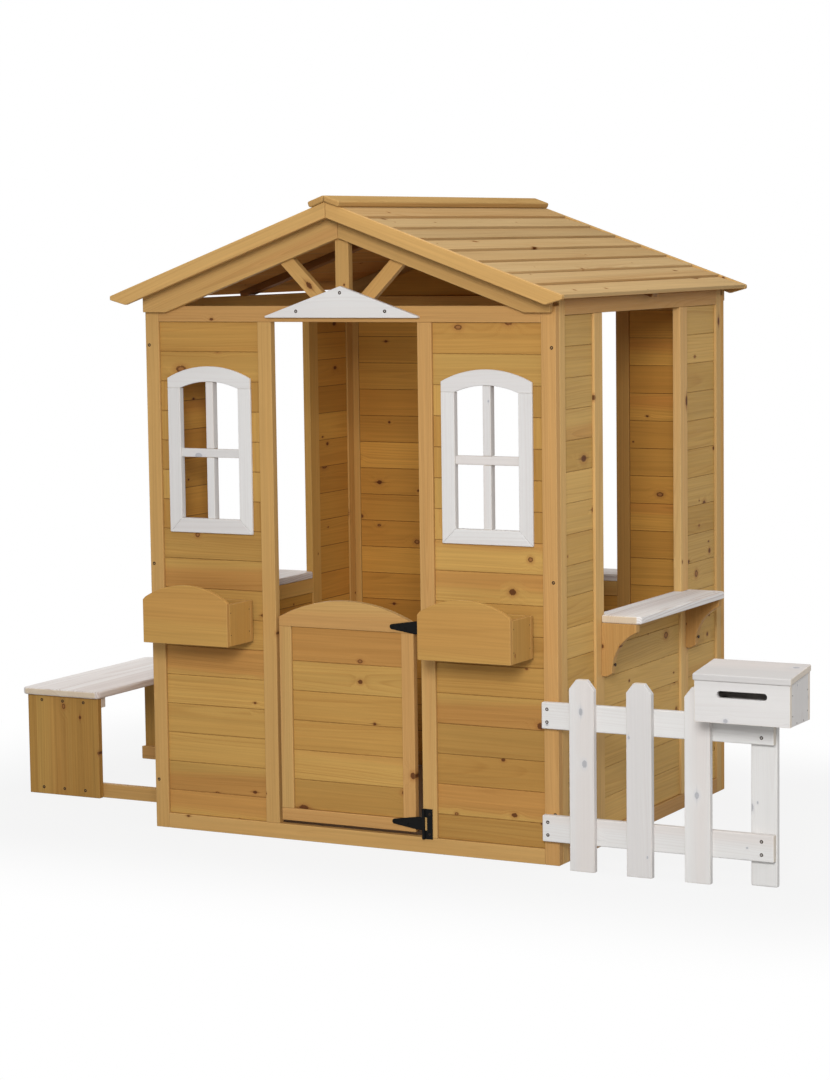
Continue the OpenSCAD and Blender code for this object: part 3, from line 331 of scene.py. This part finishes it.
# stained or washed wood: what all finishes share, then one dictionary of colours and amounts for each
woodShape = {
    "stripTone": 0.65, "underMix": 0.85, "underSide": (0.0, 0.002), "underDeep": (0.001, 0.0025),
    "fibreBand": (0.25, 0.75), "ringHeight": 0.4, "fibreHeight": 0.6, "knotHeight": -0.5, "depth": 0.0006}


def makeWood(name, look):
    material, tree, shader = startMaterial(name)
    luckB, luckC = readMark(tree, "board")[1:]
    knots = placeGroup(tree, knotSpots, along=look["knotAlong"], across=look["knotAcross"],
                       size=look["knotSize"], share=look["knotShare"])
    rings = placeGroup(tree, growthRings, spacing=look["ringSpacing"], lift=knots["lift"])
    edges = placeGroup(tree, boardEdges, reach=look["edgeReach"])
    tone = calc(tree, 'MULTIPLY_ADD', calc(tree, 'SUBTRACT', rings["patch"], 0.5), look["patchMix"], luckC)
    if look["stripWidth"]:
        strips = placeGroup(tree, gluedStrips, width=look["stripWidth"])
        tone = calc(tree, 'MULTIPLY_ADD', tone, 1 - woodShape["stripTone"],
                    calc(tree, 'MULTIPLY', strips["tone"], woodShape["stripTone"]))
    tone = calc(tree, 'MINIMUM', calc(tree, 'MAXIMUM', tone, 0.0), 1.0)
    colour = mixColour(tree, tone, look["light"], look["dark"])

    def paint(mask, amount, shade):
        return mixColour(tree, calc(tree, 'MULTIPLY', mask, amount), colour, shade)

    colour = paint(rings["heart"], look["heartMix"], look["heart"])
    # the underside gets its own warmer colour: painted bounce light, set against the painted sheen of the top
    if look["under"]:   # the underside, but not the side edges
        v, w = readMark(tree, "grain")[1:]
        halfV, halfW = readMark(tree, "half")[1:]
        fromSide = calc(tree, 'SUBTRACT', halfV, calc(tree, 'ABSOLUTE', v))
        inner = spread(tree, fromSide, *woodShape["underSide"])
        below = spread(tree, calc(tree, 'SUBTRACT', halfW, w), *woodShape["underDeep"])
        colour = paint(calc(tree, 'MULTIPLY', inner, below), woodShape["underMix"], look["under"])
    colour = paint(rings["ring"], look["ringMix"], look["late"])
    value = calc(tree, 'MULTIPLY_ADD', calc(tree, 'SUBTRACT', rings["streak"], 0.5), look["streakMix"], 1.0)
    lot = calc(tree, 'MULTIPLY_ADD', luckB, look["boardMix"], 1 - look["boardMix"] / 2)
    shade = addNode(tree, 'ShaderNodeHueSaturation')
    feed(tree, shade.inputs["Value"], calc(tree, 'MULTIPLY', value, lot))
    feed(tree, shade.inputs["Color"], colour)
    colour = shade.outputs["Color"]
    if look["stripWidth"]:
        colour = paint(strips["joint"], look["jointMix"], look["late"])
    colour = paint(knots["halo"], look["haloMix"], look["halo"])
    colour = paint(knots["spike"], look["spikeMix"], look["knot"])
    colour = paint(knots["core"], look["knotMix"], look["knot"])
    colour = paint(knots["eye"], look["knotMix"], look["eye"])
    colour = paint(edges["end"], look["endMix"], look["end"])
    # edge colour: worn pale wood on the white wash, painted highlight on the honey wood, painted shade in the
    # board grooves and roof steps
    colour = paint(edges["edge"], look["edgeMix"], look["edge"])
    feed(tree, shader.inputs["Base Color"], colour)
    roughness = spread(tree, rings["fibre"], *woodShape["fibreBand"], look["gloss"], look["matt"])
    feed(tree, shader.inputs["Roughness"], roughness)
    height = calc(tree, 'MULTIPLY', rings["fibre"], woodShape["fibreHeight"])
    height = calc(tree, 'MULTIPLY_ADD', rings["ring"], woodShape["ringHeight"], height)
    height = calc(tree, 'MULTIPLY_ADD', knots["core"], woodShape["knotHeight"], height)
    addBump(tree, shader, height, look["bump"], woodShape["depth"])
    shader.inputs["Specular IOR Level"].default_value = look["specular"]
    return material


# honey wood; its pale edge colour is painted highlight on the rounded edges
honeyLook = {
    "light": srgb(195, 155, 86), "dark": srgb(173, 129, 66), "heart": srgb(177, 120, 64), "under": None,
    "late": srgb(148, 98, 44), "knot": srgb(86, 46, 22), "eye": srgb(158, 108, 60),
    "halo": srgb(160, 106, 56), "edge": srgb(206, 170, 112), "end": srgb(178, 134, 78),
    "knotAlong": 0.13, "knotAcross": 0.06, "knotSize": 0.005, "knotShare": 0.36,
    "knotMix": 0.9, "haloMix": 0.5, "spikeMix": 0.55, "heartMix": 0.56, "ringSpacing": 0.0068,
    "ringMix": 0.31, "patchMix": 0.9, "streakMix": 0.42, "boardMix": 0.2, "edgeReach": 0.0018,
    "edgeMix": 0.3, "endMix": 0.5,
    "stripWidth": None, "gloss": 0.5, "matt": 0.68, "bump": 0.3, "specular": 0.12}
# dark board edges: painted shade in the grooves between the wall and door boards
grooveShadeLook = {"edge": srgb(88, 52, 24), "edgeReach": 0.0015, "edgeMix": 0.86}
honeyBoard = makeWood("honeyBoard", {**honeyLook, **grooveShadeLook})
# paler copy for the right wall boards: partly their own more yellow tone, partly painted light for the side
# turned away from the key lamp
sideLitBoards = makeWood("sideLitBoards", {
    **honeyLook, **grooveShadeLook, "light": srgb(204, 166, 100), "dark": srgb(189, 149, 83),
    "heart": srgb(186, 133, 74), "knotShare": 0.4})
# brighter, more orange copy for the left and rear wall boards: painted warm bounce light between the wooden walls
bounceLitInnerBoards = makeWood("bounceLitInnerBoards", {
    **honeyLook, **grooveShadeLook, "light": srgb(206, 153, 72), "dark": srgb(190, 134, 59),
    "heart": srgb(188, 119, 54)})
frameLook = {
    **honeyLook, "light": srgb(201, 161, 100), "dark": srgb(188, 145, 86), "heart": srgb(188, 138, 84),
    "knotShare": 0.17, "knotAlong": 0.2, "ringSpacing": 0.005, "ringMix": 0.22, "streakMix": 0.36,
    "boardMix": 0.16, "heartMix": 0.5}
honeyFrame = makeWood("honeyFrame", frameLook)
# brighter, more orange copy for the left and rear frames: painted warm bounce light between the wooden walls
bounceLitInnerFrame = makeWood("bounceLitInnerFrame", {
    **frameLook, "light": srgb(210, 167, 96), "dark": srgb(198, 152, 82), "heart": srgb(196, 143, 78)})
# brighter copy for the right wall stiles: painted light, so the side stiles match the lit front jambs
sideLitPost = makeWood("sideLitPost", {
    **frameLook, "light": srgb(214, 177, 116), "dark": srgb(202, 162, 102), "heart": srgb(200, 152, 96)})
# roof boards: the pale greyish top colours are painted sheen in place of specular, the dark edges painted shadow
# lines under the board steps, and the warm underside painted bounce light
sheenPaintedRoof = makeWood("sheenPaintedRoof", {
    **honeyLook, "light": srgb(195, 166, 121), "dark": srgb(181, 149, 103), "heart": srgb(179, 140, 92),
    "under": srgb(200, 142, 76), "knotShare": 0.3, "knotAlong": 0.2, "knotSize": 0.0036, "heartMix": 0.4,
    "spikeMix": 0.8, "edge": srgb(120, 86, 50), "edgeReach": 0.0009, "edgeMix": 0.4,
    "gloss": 0.65, "matt": 0.8, "specular": 0.0})
honeyRidge = makeWood("honeyRidge", {
    **honeyLook, "light": srgb(188, 153, 98), "dark": srgb(174, 137, 84), "knotShare": 0.2, "heartMix": 0.1,
    "gloss": 0.65, "matt": 0.8, "specular": 0.0})
honeyBatten = makeWood("honeyBatten", {
    **honeyLook, "light": srgb(132, 88, 48), "dark": srgb(114, 74, 38), "edge": srgb(140, 96, 54)})
honeyBox = makeWood("honeyBox", {
    **honeyLook, "light": srgb(188, 146, 80), "dark": srgb(179, 136, 72), "knotShare": 0.03, "heartMix": 0.25,
    "boardMix": 0.05, "ringMix": 0.2, "streakMix": 0.36})
honeyBench = makeWood("honeyBench", {
    **honeyLook, "stripWidth": 0.054, "jointMix": 0.3, "light": srgb(187, 148, 81),
    "dark": srgb(166, 124, 63), "knotShare": 0.6, "streakMix": 0.55, "heartMix": 0.2, "ringSpacing": 0.005})
honeyBracket = makeWood("honeyBracket", {
    **honeyLook, "light": srgb(186, 145, 88), "dark": srgb(172, 128, 74), "heartMix": 0.1,
    "knotShare": 0.7, "knotAlong": 0.07, "knotAcross": 0.05, "knotSize": 0.0055})

whiteLook = {
    "light": srgb(224, 223, 221), "dark": srgb(214, 211, 209), "heart": srgb(216, 208, 203), "under": None,
    "late": srgb(198, 188, 184), "knot": srgb(150, 151, 158), "eye": srgb(184, 184, 189),
    "halo": srgb(206, 205, 207), "edge": srgb(214, 201, 182), "end": srgb(220, 204, 180),
    "knotAlong": 0.12, "knotAcross": 0.055, "knotSize": 0.0044, "knotShare": 0.45,
    "knotMix": 0.62, "haloMix": 0.5, "spikeMix": 0.25, "heartMix": 0.6, "ringSpacing": 0.006,
    "ringMix": 0.24, "patchMix": 1.0, "streakMix": 0.09, "boardMix": 0.03, "edgeReach": 0.0018,
    "edgeMix": 0.35, "endMix": 0.5,
    "stripWidth": None, "gloss": 0.6, "matt": 0.76, "bump": 0.3, "specular": 0.2}
whiteWash = makeWood("whiteWash", whiteLook)
# a darker copy of the white wash for the mailbox lid: painted shade, so its top reads dimmer than the front
shadedWhiteLid = makeWood("shadedWhiteLid", {**whiteLook, "light": srgb(204, 202, 200), "dark": srgb(195, 191, 189)})
whiteSeat = makeWood("whiteSeat", {
    **whiteLook, "stripWidth": 0.048, "jointMix": 0.25, "ringMix": 0.85, "light": srgb(240, 238, 236),
    "dark": srgb(218, 209, 204), "late": srgb(190, 172, 163), "edge": srgb(214, 198, 178), "edgeReach": 0.003,
    "edgeMix": 0.5, "end": srgb(212, 192, 162), "endMix": 0.8, "knotShare": 0.1, "streakMix": 0.26})
print("wood finishes made")


# coated or dull steel with a fine speckle
steelShape = {"speckleBand": (0.3, 0.7), "bump": 0.25, "depth": 0.0003}


def makeSteel(name, look):
    material, tree, shader = startMaterial(name)
    place = addNode(tree, 'ShaderNodeTexCoord').outputs["Object"]
    scale = addNode(tree, 'ShaderNodeVectorMath', operation='SCALE')
    feed(tree, scale.inputs[0], place)
    scale.inputs["Scale"].default_value = look["speckle"]
    speckle = noise(tree, scale.outputs[0], detail=3.0, roughness=0.6)
    feed(tree, shader.inputs["Base Color"], mixColour(tree, speckle, look["dark"], look["light"]))
    roughness = spread(tree, speckle, *steelShape["speckleBand"], look["gloss"], look["matt"])
    feed(tree, shader.inputs["Roughness"], roughness)
    shader.inputs["Metallic"].default_value = look["metal"]
    shader.inputs["Specular IOR Level"].default_value = look["specular"]
    addBump(tree, shader, speckle, steelShape["bump"], steelShape["depth"])
    return material


blackCoat = makeSteel("blackCoat", {
    "dark": srgb(9, 9, 9), "light": srgb(18, 18, 18), "speckle": 900.0,
    "gloss": 0.5, "matt": 0.66, "metal": 0.0, "specular": 0.1})
dullScrew = makeSteel("dullScrew", {
    "dark": srgb(40, 30, 22), "light": srgb(74, 57, 42), "speckle": 700.0,
    "gloss": 0.5, "matt": 0.7, "metal": 0.05, "specular": 0.15})
print("steel finishes made")


# the pieces: each CAD node gets a finished copy with softened edges and its own grain
meshLook = {"merge": 0.00002, "flat": 0.5, "smooth": 25, "corner": 28, "square": 0.1}


def pickOnly(*objects):
    bpy.ops.object.select_all(action='DESELECT')
    for obj in objects:
        obj.select_set(True)
    bpy.context.view_layer.objects.active = objects[0]


def copyNode(node):
    piece = bpy.data.objects.new(node + "_finish", frame["nodes"][node].data.copy())
    bpy.context.scene.collection.objects.link(piece)
    piece.data.materials.clear()
    pickOnly(piece)
    bpy.ops.mesh.customdata_custom_splitnormals_clear()
    bpy.ops.object.mode_set(mode='EDIT')
    bpy.ops.mesh.select_all(action='SELECT')
    bpy.ops.mesh.remove_doubles(threshold=meshLook["merge"])
    bpy.ops.mesh.dissolve_limited(angle_limit=math.radians(meshLook["flat"]))
    bpy.ops.object.mode_set(mode='OBJECT')
    return piece


def softenEdges(piece, width, steps):
    pickOnly(piece)
    bpy.ops.object.shade_smooth_by_angle(angle=math.radians(meshLook["smooth"]))
    bpy.ops.object.modifier_add(type='BEVEL')
    bevel = piece.modifiers[-1]
    bevel.width = width
    bevel.segments = steps
    bevel.limit_method = 'ANGLE'
    bevel.angle_limit = math.radians(meshLook["corner"])
    bevel.harden_normals = True
    bpy.ops.object.modifier_apply(modifier=bevel.name)


def looseIslands(mesh):
    pairs = np.empty(len(mesh.edges) * 2, np.int64)
    mesh.edges.foreach_get("vertices", pairs)
    pairs = pairs.reshape(-1, 2)
    label = np.arange(len(mesh.vertices))
    while True:
        lowest = np.minimum(label[pairs[:, 0]], label[pairs[:, 1]])
        fresh = label.copy()
        np.minimum.at(fresh, pairs[:, 0], lowest)
        np.minimum.at(fresh, pairs[:, 1], lowest)
        fresh = fresh[fresh]
        if (fresh == label).all():
            return label, pairs
        label = fresh


# boards grow by a little over half an open joint, so that no light falls through between them
def closeJoints(piece, grow):
    mesh = piece.data
    places = np.empty(len(mesh.vertices) * 3)
    mesh.vertices.foreach_get("co", places)
    rise = places[2::3]
    label = looseIslands(mesh)[0]
    for island in np.unique(label):
        inside = label == island
        middle = (rise[inside].min() + rise[inside].max()) / 2
        rise[inside] += np.sign(rise[inside] - middle) * grow
    mesh.vertices.foreach_set("co", places)
    mesh.update()


# axes of a board: along its longest edge or as given, across its widest face, and through it
def boardAxes(ends, along):
    def faceUp(axis):
        return axis * np.sign(axis[np.abs(axis).argmax()])

    runs = ends[:, 1] - ends[:, 0]
    lengths = np.linalg.norm(runs, axis=1)
    if along is None:
        along = runs[lengths.argmax()] / lengths.max()
    along = faceUp(np.array(along, float))
    square = np.abs(runs @ along) < meshLook["square"] * lengths
    across = runs[square][lengths[square].argmax()]
    across = across - along * (across @ along)
    across = faceUp(across / np.linalg.norm(across))
    return np.array((along, across, faceUp(np.cross(along, across))))


# luck of a wall board: the reddish courses lie inside the heart of the tree, the others mostly outside
courseLuck = {"redHeart": (0.15, 0.6), "paleHeart": 0.4, "redShade": (0.6, 0.2), "redTone": 0.3}


def courseOf(luck, red):
    heart, shade, tone = luck
    if not red:
        return courseLuck["paleHeart"] * heart, shade, tone
    heartSpan, heartStart = courseLuck["redHeart"]
    shadeSpan, shadeStart = courseLuck["redShade"]
    return heartStart + heartSpan * heart, shadeStart + shadeSpan * shade, courseLuck["redTone"] * tone


# each board keeps its own grain axes, half sizes and luck; red lists the reddish courses from the floor up
def markBoards(piece, node, along=None, red=None):
    mesh = piece.data
    places = np.empty(len(mesh.vertices) * 3)
    mesh.vertices.foreach_get("co", places)
    places = places.reshape(-1, 3)
    label, pairs = looseIslands(mesh)
    grain, half, board = (np.zeros_like(places) for unused in range(3))
    dice = random.Random(node)
    heights = {island: round(places[label == island, 2].mean(), 2) for island in np.unique(label)}
    courses = sorted(set(heights.values()))
    for island in np.unique(label):
        inside = label == island
        axes = boardAxes(places[pairs[inside[pairs[:, 0]]]], along)
        local = places[inside] @ axes.T
        low, high = local.min(0), local.max(0)
        grain[inside] = local - (low + high) / 2
        half[inside] = (high - low) / 2
        luck = [dice.random() for unused in range(3)]
        if red is not None:
            luck = courseOf(luck, courses.index(heights[island]) in red)
        board[inside] = luck
    for name, values in (("grain", grain), ("half", half), ("board", board)):
        mark = mesh.attributes.new(name, 'FLOAT_VECTOR', 'POINT')
        mark.data.foreach_set("vector", values.ravel().astype(np.float32))


def keepPiece(piece, node, material):
    piece.data.materials.append(material)
    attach(piece, nodeBody[node])
    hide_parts(node)


def finishNodes(kind, nodes, material, edge, steps=2, along=None, grow=None, red=None):
    for node in nodes:
        piece = copyNode(node)
        if grow:
            closeJoints(piece, grow)
        softenEdges(piece, edge, steps)
        markBoards(piece, node, along, red)
        keepPiece(piece, node, material)
    print(kind + ":", len(nodes), "nodes finished")


wallLook = {"frameEdge": 0.0016, "boardEdge": 0.0005, "grow": 0.00033,
            "leftRed": (0, 1, 5, 8), "rightRed": (1, 4), "otherRed": ()}
finishNodes("front frame", ["front_rails", "right_rails", "front_stiles"], honeyFrame, wallLook["frameEdge"])
finishNodes("left and rear frames", ["left_rails", "rear_rails", "left_stiles", "rear_stiles"],
            bounceLitInnerFrame, wallLook["frameEdge"])
finishNodes("right wall stiles", ["right_stiles"], sideLitPost, wallLook["frameEdge"])
finishNodes("left front boards", ["front_boards_left"], honeyBoard, wallLook["boardEdge"],
            grow=wallLook["grow"], red=wallLook["leftRed"])
finishNodes("right front boards", ["front_boards_right"], honeyBoard, wallLook["boardEdge"],
            grow=wallLook["grow"], red=wallLook["rightRed"])
finishNodes("right wall boards", ["right_boards"], sideLitBoards, wallLook["boardEdge"],
            grow=wallLook["grow"], red=wallLook["otherRed"])
finishNodes("left and rear boards", ["left_boards", "rear_boards"], bounceLitInnerBoards, wallLook["boardEdge"],
            grow=wallLook["grow"], red=wallLook["otherRed"])

roofLook = {"timberEdge": 0.0018, "boardEdge": 0.0008, "trimEdge": 0.002, "ridgeEdge": 0.004, "red": ()}
finishNodes("gables", ["gable_rafters", "gable_posts", "gable_braces"], honeyFrame, roofLook["timberEdge"],
            red=roofLook["red"])
finishNodes("roof boards", ["roof_boards_left", "roof_boards_right"], sheenPaintedRoof, roofLook["boardEdge"])
finishNodes("barge boards", ["barge_boards"], honeyFrame, roofLook["trimEdge"], red=roofLook["red"])
finishNodes("roof battens", ["roof_battens"], honeyBatten, roofLook["trimEdge"])
finishNodes("ridge", ["ridge_boards"], honeyRidge, roofLook["ridgeEdge"], steps=3)

flowerBoxLook = {"edge": 0.0016}
finishNodes("flower boxes", ["planter_fronts", "planter_sides", "planter_backs", "planter_bottoms",
                             "planter_hangers"], honeyBox, flowerBoxLook["edge"])

doorLook = {"frameEdge": 0.0016, "boardEdge": 0.0005, "grow": 0.00033, "red": (5,)}
finishNodes("half door frame", ["door_stiles", "door_rails"], honeyFrame, doorLook["frameEdge"])
finishNodes("half door boards", ["door_boards"], honeyBoard, doorLook["boardEdge"],
            grow=doorLook["grow"], red=doorLook["red"])

windowLook = {"edge": 0.0014, "headGrain": (1, 0, 0)}
finishNodes("window heads", ["window_heads"], whiteWash, windowLook["edge"], along=windowLook["headGrain"])
finishNodes("windows", ["window_jambs", "window_sills", "window_bars"], whiteWash, windowLook["edge"])
finishNodes("pediment", ["pediment"], whiteWash, windowLook["edge"])

shelfLook = {"topEdge": 0.0038, "bracketEdge": 0.0016, "bracketGrain": (0, 0, 1)}
finishNodes("shelves", ["right_shelf", "left_shelf", "rear_shelf"], whiteSeat, shelfLook["topEdge"], steps=4)
finishNodes("brackets", ["right_brackets", "left_brackets", "rear_brackets"], honeyBracket,
            shelfLook["bracketEdge"], along=shelfLook["bracketGrain"])

benchLook = {"seatEdge": 0.005, "cleatEdge": 0.0016, "legEdge": 0.0022}
finishNodes("bench seat", ["bench_seat"], whiteSeat, benchLook["seatEdge"], steps=4)
finishNodes("bench cleats", ["bench_cleats"], whiteWash, benchLook["cleatEdge"])
finishNodes("bench legs", ["bench_legs"], honeyBench, benchLook["legEdge"], steps=3)
finishNodes("bench stretchers", ["bench_stretchers"], honeyFrame, benchLook["cleatEdge"])

fenceLook = {"railEdge": 0.003, "picketEdge": 0.0014}
finishNodes("fence rails", ["fence_rails", "fence_post"], whiteWash, fenceLook["railEdge"], steps=3)
finishNodes("pickets", ["fence_pickets"], whiteWash, fenceLook["picketEdge"])

mailboxLook = {"bodyEdge": 0.0012, "lidEdge": 0.003}
finishNodes("mailbox", ["mailbox_front", "mailbox_sides", "mailbox_back", "mailbox_bottom"],
            whiteWash, mailboxLook["bodyEdge"])
finishNodes("mailbox lid", ["mailbox_lid"], shadedWhiteLid, mailboxLook["lidEdge"], steps=3)

hingeLook = {"edge": 0.0004}
finishNodes("hinges", ["door_straps", "door_plates", "door_pins", "lid_hinge_leaves", "box_hinge_leaves",
                       "lid_hinge_pins"], blackCoat, hingeLook["edge"])


# screws get a cross cut into the head, and nails stand a little proud
screwLook = {"edge": 0.0005, "slotWide": 0.0011, "slotLong": 0.62, "slotDeep": 0.0011, "nailProud": 0.0003,
             "rimDeep": 0.0008, "headShare": 1.2}


def modelCross(look):
    bpy.ops.object.select_all(action='DESELECT')
    bpy.ops.mesh.primitive_cube_add(size=1)
    cross = bpy.context.active_object
    cross.scale = (look["slotWide"], look["slotWide"], 2 * look["slotDeep"])
    bpy.ops.object.transform_apply(location=False, rotation=False, scale=True)
    for face in cross.data.polygons:
        face.select = abs(face.normal.z) < 0.5   # the four sides
    return cross


def screwIslands(mesh, look):
    places = np.array([vertex.co for vertex in mesh.vertices])
    label = looseIslands(mesh)[0]
    for island in np.unique(label):
        inside = np.flatnonzero(label == island)
        spot = places[inside]
        low, high = spot.min(0), spot.max(0)
        axis = (high - low).argmax()
        off = np.delete(spot - (low + high) / 2, axis, 1)
        reach = np.linalg.norm(off, axis=1)
        rise = spot[:, axis]
        radii = [reach[np.abs(rise - end) < look["rimDeep"]].max() for end in (low[axis], high[axis])]
        yield inside, axis, (low + high) / 2, (low[axis], high[axis]), radii


def finishScrews(node, material, look):
    piece = copyNode(node)
    mesh = piece.data
    dice = random.Random(node)
    crosses = []
    for inside, axis, middle, ends, radii in list(screwIslands(mesh, look)):
        if max(radii) < look["headShare"] * min(radii):   # a nail, as thick at both ends
            for index in inside:
                place = mesh.vertices[index].co
                place[axis] += math.copysign(look["nailProud"], place[axis] - middle[axis])
            continue
        side = 0 if radii[0] > radii[1] else 1
        outward = Vector((0, 0, 0))
        outward[axis] = (-1, 1)[side]
        spot = Vector(middle)
        spot[axis] = ends[side]
        cross = modelCross(look)
        bpy.ops.object.mode_set(mode='EDIT')
        bpy.ops.mesh.select_mode(type='FACE')
        bpy.ops.mesh.extrude_faces_move(
            TRANSFORM_OT_shrink_fatten={"value": max(radii) * look["slotLong"] - look["slotWide"] / 2})
        bpy.ops.object.mode_set(mode='OBJECT')
        spin = Matrix.Rotation(dice.uniform(0, math.pi / 2), 4, 'Z')
        turn = outward.to_track_quat('Z', 'Y').to_matrix().to_4x4()
        cross.data.transform(Matrix.Translation(spot) @ turn @ spin)
        crosses.append(cross)
    softenEdges(piece, look["edge"], steps=2)
    pickOnly(*crosses)
    bpy.ops.object.join()
    cutter = bpy.context.active_object
    pickOnly(piece)
    bpy.ops.object.modifier_add(type='BOOLEAN')
    slots = piece.modifiers[-1]
    slots.operation = 'DIFFERENCE'
    slots.object = cutter
    bpy.ops.object.modifier_apply(modifier=slots.name)
    pickOnly(cutter)
    bpy.ops.object.delete()
    keepPiece(piece, node, material)
    print(node + ":", len(crosses), "slotted heads")


finishScrews("wood_screws", dullScrew, screwLook)
finishScrews("door_screws", blackCoat, screwLook)


# floor, light and camera
floorLook = {"size": 60, "pale": srgb(172, 172, 172), "shade": srgb(150, 132, 112), "wall": 0.02,
             "glow": 0.87, "fade": 0.7, "below": 0.0005, "matt": 0.9}


def seenRays(tree):
    ray = addNode(tree, 'ShaderNodeLightPath')
    mirrored = calc(tree, 'MAXIMUM', ray.outputs["Is Glossy Ray"], ray.outputs["Is Transmission Ray"])
    return calc(tree, 'MAXIMUM', ray.outputs["Is Camera Ray"], mirrored)


def makeFloor(look):
    bpy.ops.object.select_all(action='DESELECT')
    bpy.ops.mesh.primitive_plane_add(size=look["size"], location=(0, 0, -look["below"]))
    floor = bpy.context.active_object
    floor.name = "studio_floor"
    material, tree, shader = startMaterial("studioFloor")
    shader.inputs["Roughness"].default_value = look["matt"]
    shader.inputs["Specular IOR Level"].default_value = 0.0
    x, y = splitVector(tree, addNode(tree, 'ShaderNodeTexCoord').outputs["Object"])[:2]

    def pastEdges(low, high):
        fromMiddle = [calc(tree, 'ABSOLUTE', calc(tree, 'SUBTRACT', place, (near + far) / 2))
                      for place, near, far in zip((x, y), low, high)]
        return [calc(tree, 'SUBTRACT', off, (far - near) / 2)
                for off, near, far in zip(fromMiddle, low, high)]

    pastWall = calc(tree, 'MAXIMUM', *pastEdges(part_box("front_stiles")[0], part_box("rear_stiles")[1]))
    outside = spread(tree, pastWall, -look["wall"], 0.0)
    # under the house the floor takes the darker warm shade colour: painted shade with painted bounce light from
    # the wood
    feed(tree, shader.inputs["Base Color"], mixColour(tree, outside, look["shade"], look["pale"]))
    away = distance(tree, *[calc(tree, 'MAXIMUM', edge, 0.0) for edge in pastEdges(*cadBox)])
    white = calc(tree, 'MULTIPLY', spread(tree, away, 0.0, look["fade"], look["glow"], 1.0), outside)
    glow = addNode(tree, 'ShaderNodeEmission')
    blend = addNode(tree, 'ShaderNodeMixShader')
    feed(tree, blend.inputs[0], calc(tree, 'MULTIPLY', seenRays(tree), white))
    tree.links.new(shader.outputs[0], blend.inputs[1])
    tree.links.new(glow.outputs[0], blend.inputs[2])
    tree.links.new(blend.outputs[0], tree.nodes["Material Output"].inputs[0])
    floor.data.materials.append(material)


def makeWorld(ambient):
    world = bpy.data.worlds.new("studio")
    bpy.context.scene.world = world
    world.use_nodes = True
    tree = world.node_tree
    background = tree.nodes["Background"]
    background.inputs["Color"].default_value = (1, 1, 1, 1)
    feed(tree, background.inputs["Strength"], spread(tree, seenRays(tree), 0.0, 1.0, ambient, 1.0))


def addLamp(name, place, target, size, power):
    bpy.ops.object.select_all(action='DESELECT')
    bpy.ops.object.light_add(type='AREA', location=place)
    lamp = bpy.context.active_object
    lamp.name = name
    lamp.data.size = size
    lamp.data.energy = power
    lamp.rotation_euler = (Vector(target) - Vector(place)).to_track_quat('-Z', 'Y').to_euler()


studioLook = {
    "ambient": 0.42, "aim": (0.0, 0.0, 0.75),
    "keyPlace": (2.43, -5.45, 2.4), "keySize": 1.3, "keyPower": 200.0,
    "sidePlace": (5.2, -1.4, 2.6), "sideSize": 1.8, "sidePower": 30.0,
    "topPlace": (0.2, -0.6, 4.6), "topSize": 3.0, "topPower": 62.0,
    "rearPlace": (-3.4, 4.9, 2.2), "rearSize": 2.2, "rearPower": 90.0}
makeFloor(floorLook)
makeWorld(studioLook["ambient"])
for lamp in ("key", "side", "top", "rear"):
    addLamp(lamp + "Lamp", studioLook[lamp + "Place"], studioLook["aim"],
            studioLook[lamp + "Size"], studioLook[lamp + "Power"])
print("studio ready")

# the photograph's camera, with its focal length in pixels of the whole picture
cameraLook = {"tall": 1080, "focal": 2876, "sensor": 36.0, "roll": -0.75,
              "place": (3.193, -6.212, 1.404), "aim": (-0.074, -0.049, 0.669)}


def makeCamera(look):
    data = bpy.data.cameras.new("photoCamera")
    data.sensor_width = look["sensor"]
    data.lens = look["focal"] * look["sensor"] / look["tall"]
    camera = bpy.data.objects.new("photoCamera", data)
    bpy.context.scene.collection.objects.link(camera)
    turn = (Vector(look["aim"]) - Vector(look["place"])).to_track_quat('-Z', 'Y').to_matrix().to_4x4()
    roll = Matrix.Rotation(math.radians(look["roll"]), 4, 'Z')
    camera.matrix_world = Matrix.Translation(look["place"]) @ turn @ roll
    bpy.context.scene.camera = camera


makeCamera(cameraLook)
bpy.context.scene.view_settings.view_transform = 'Standard'
print("camera ready")
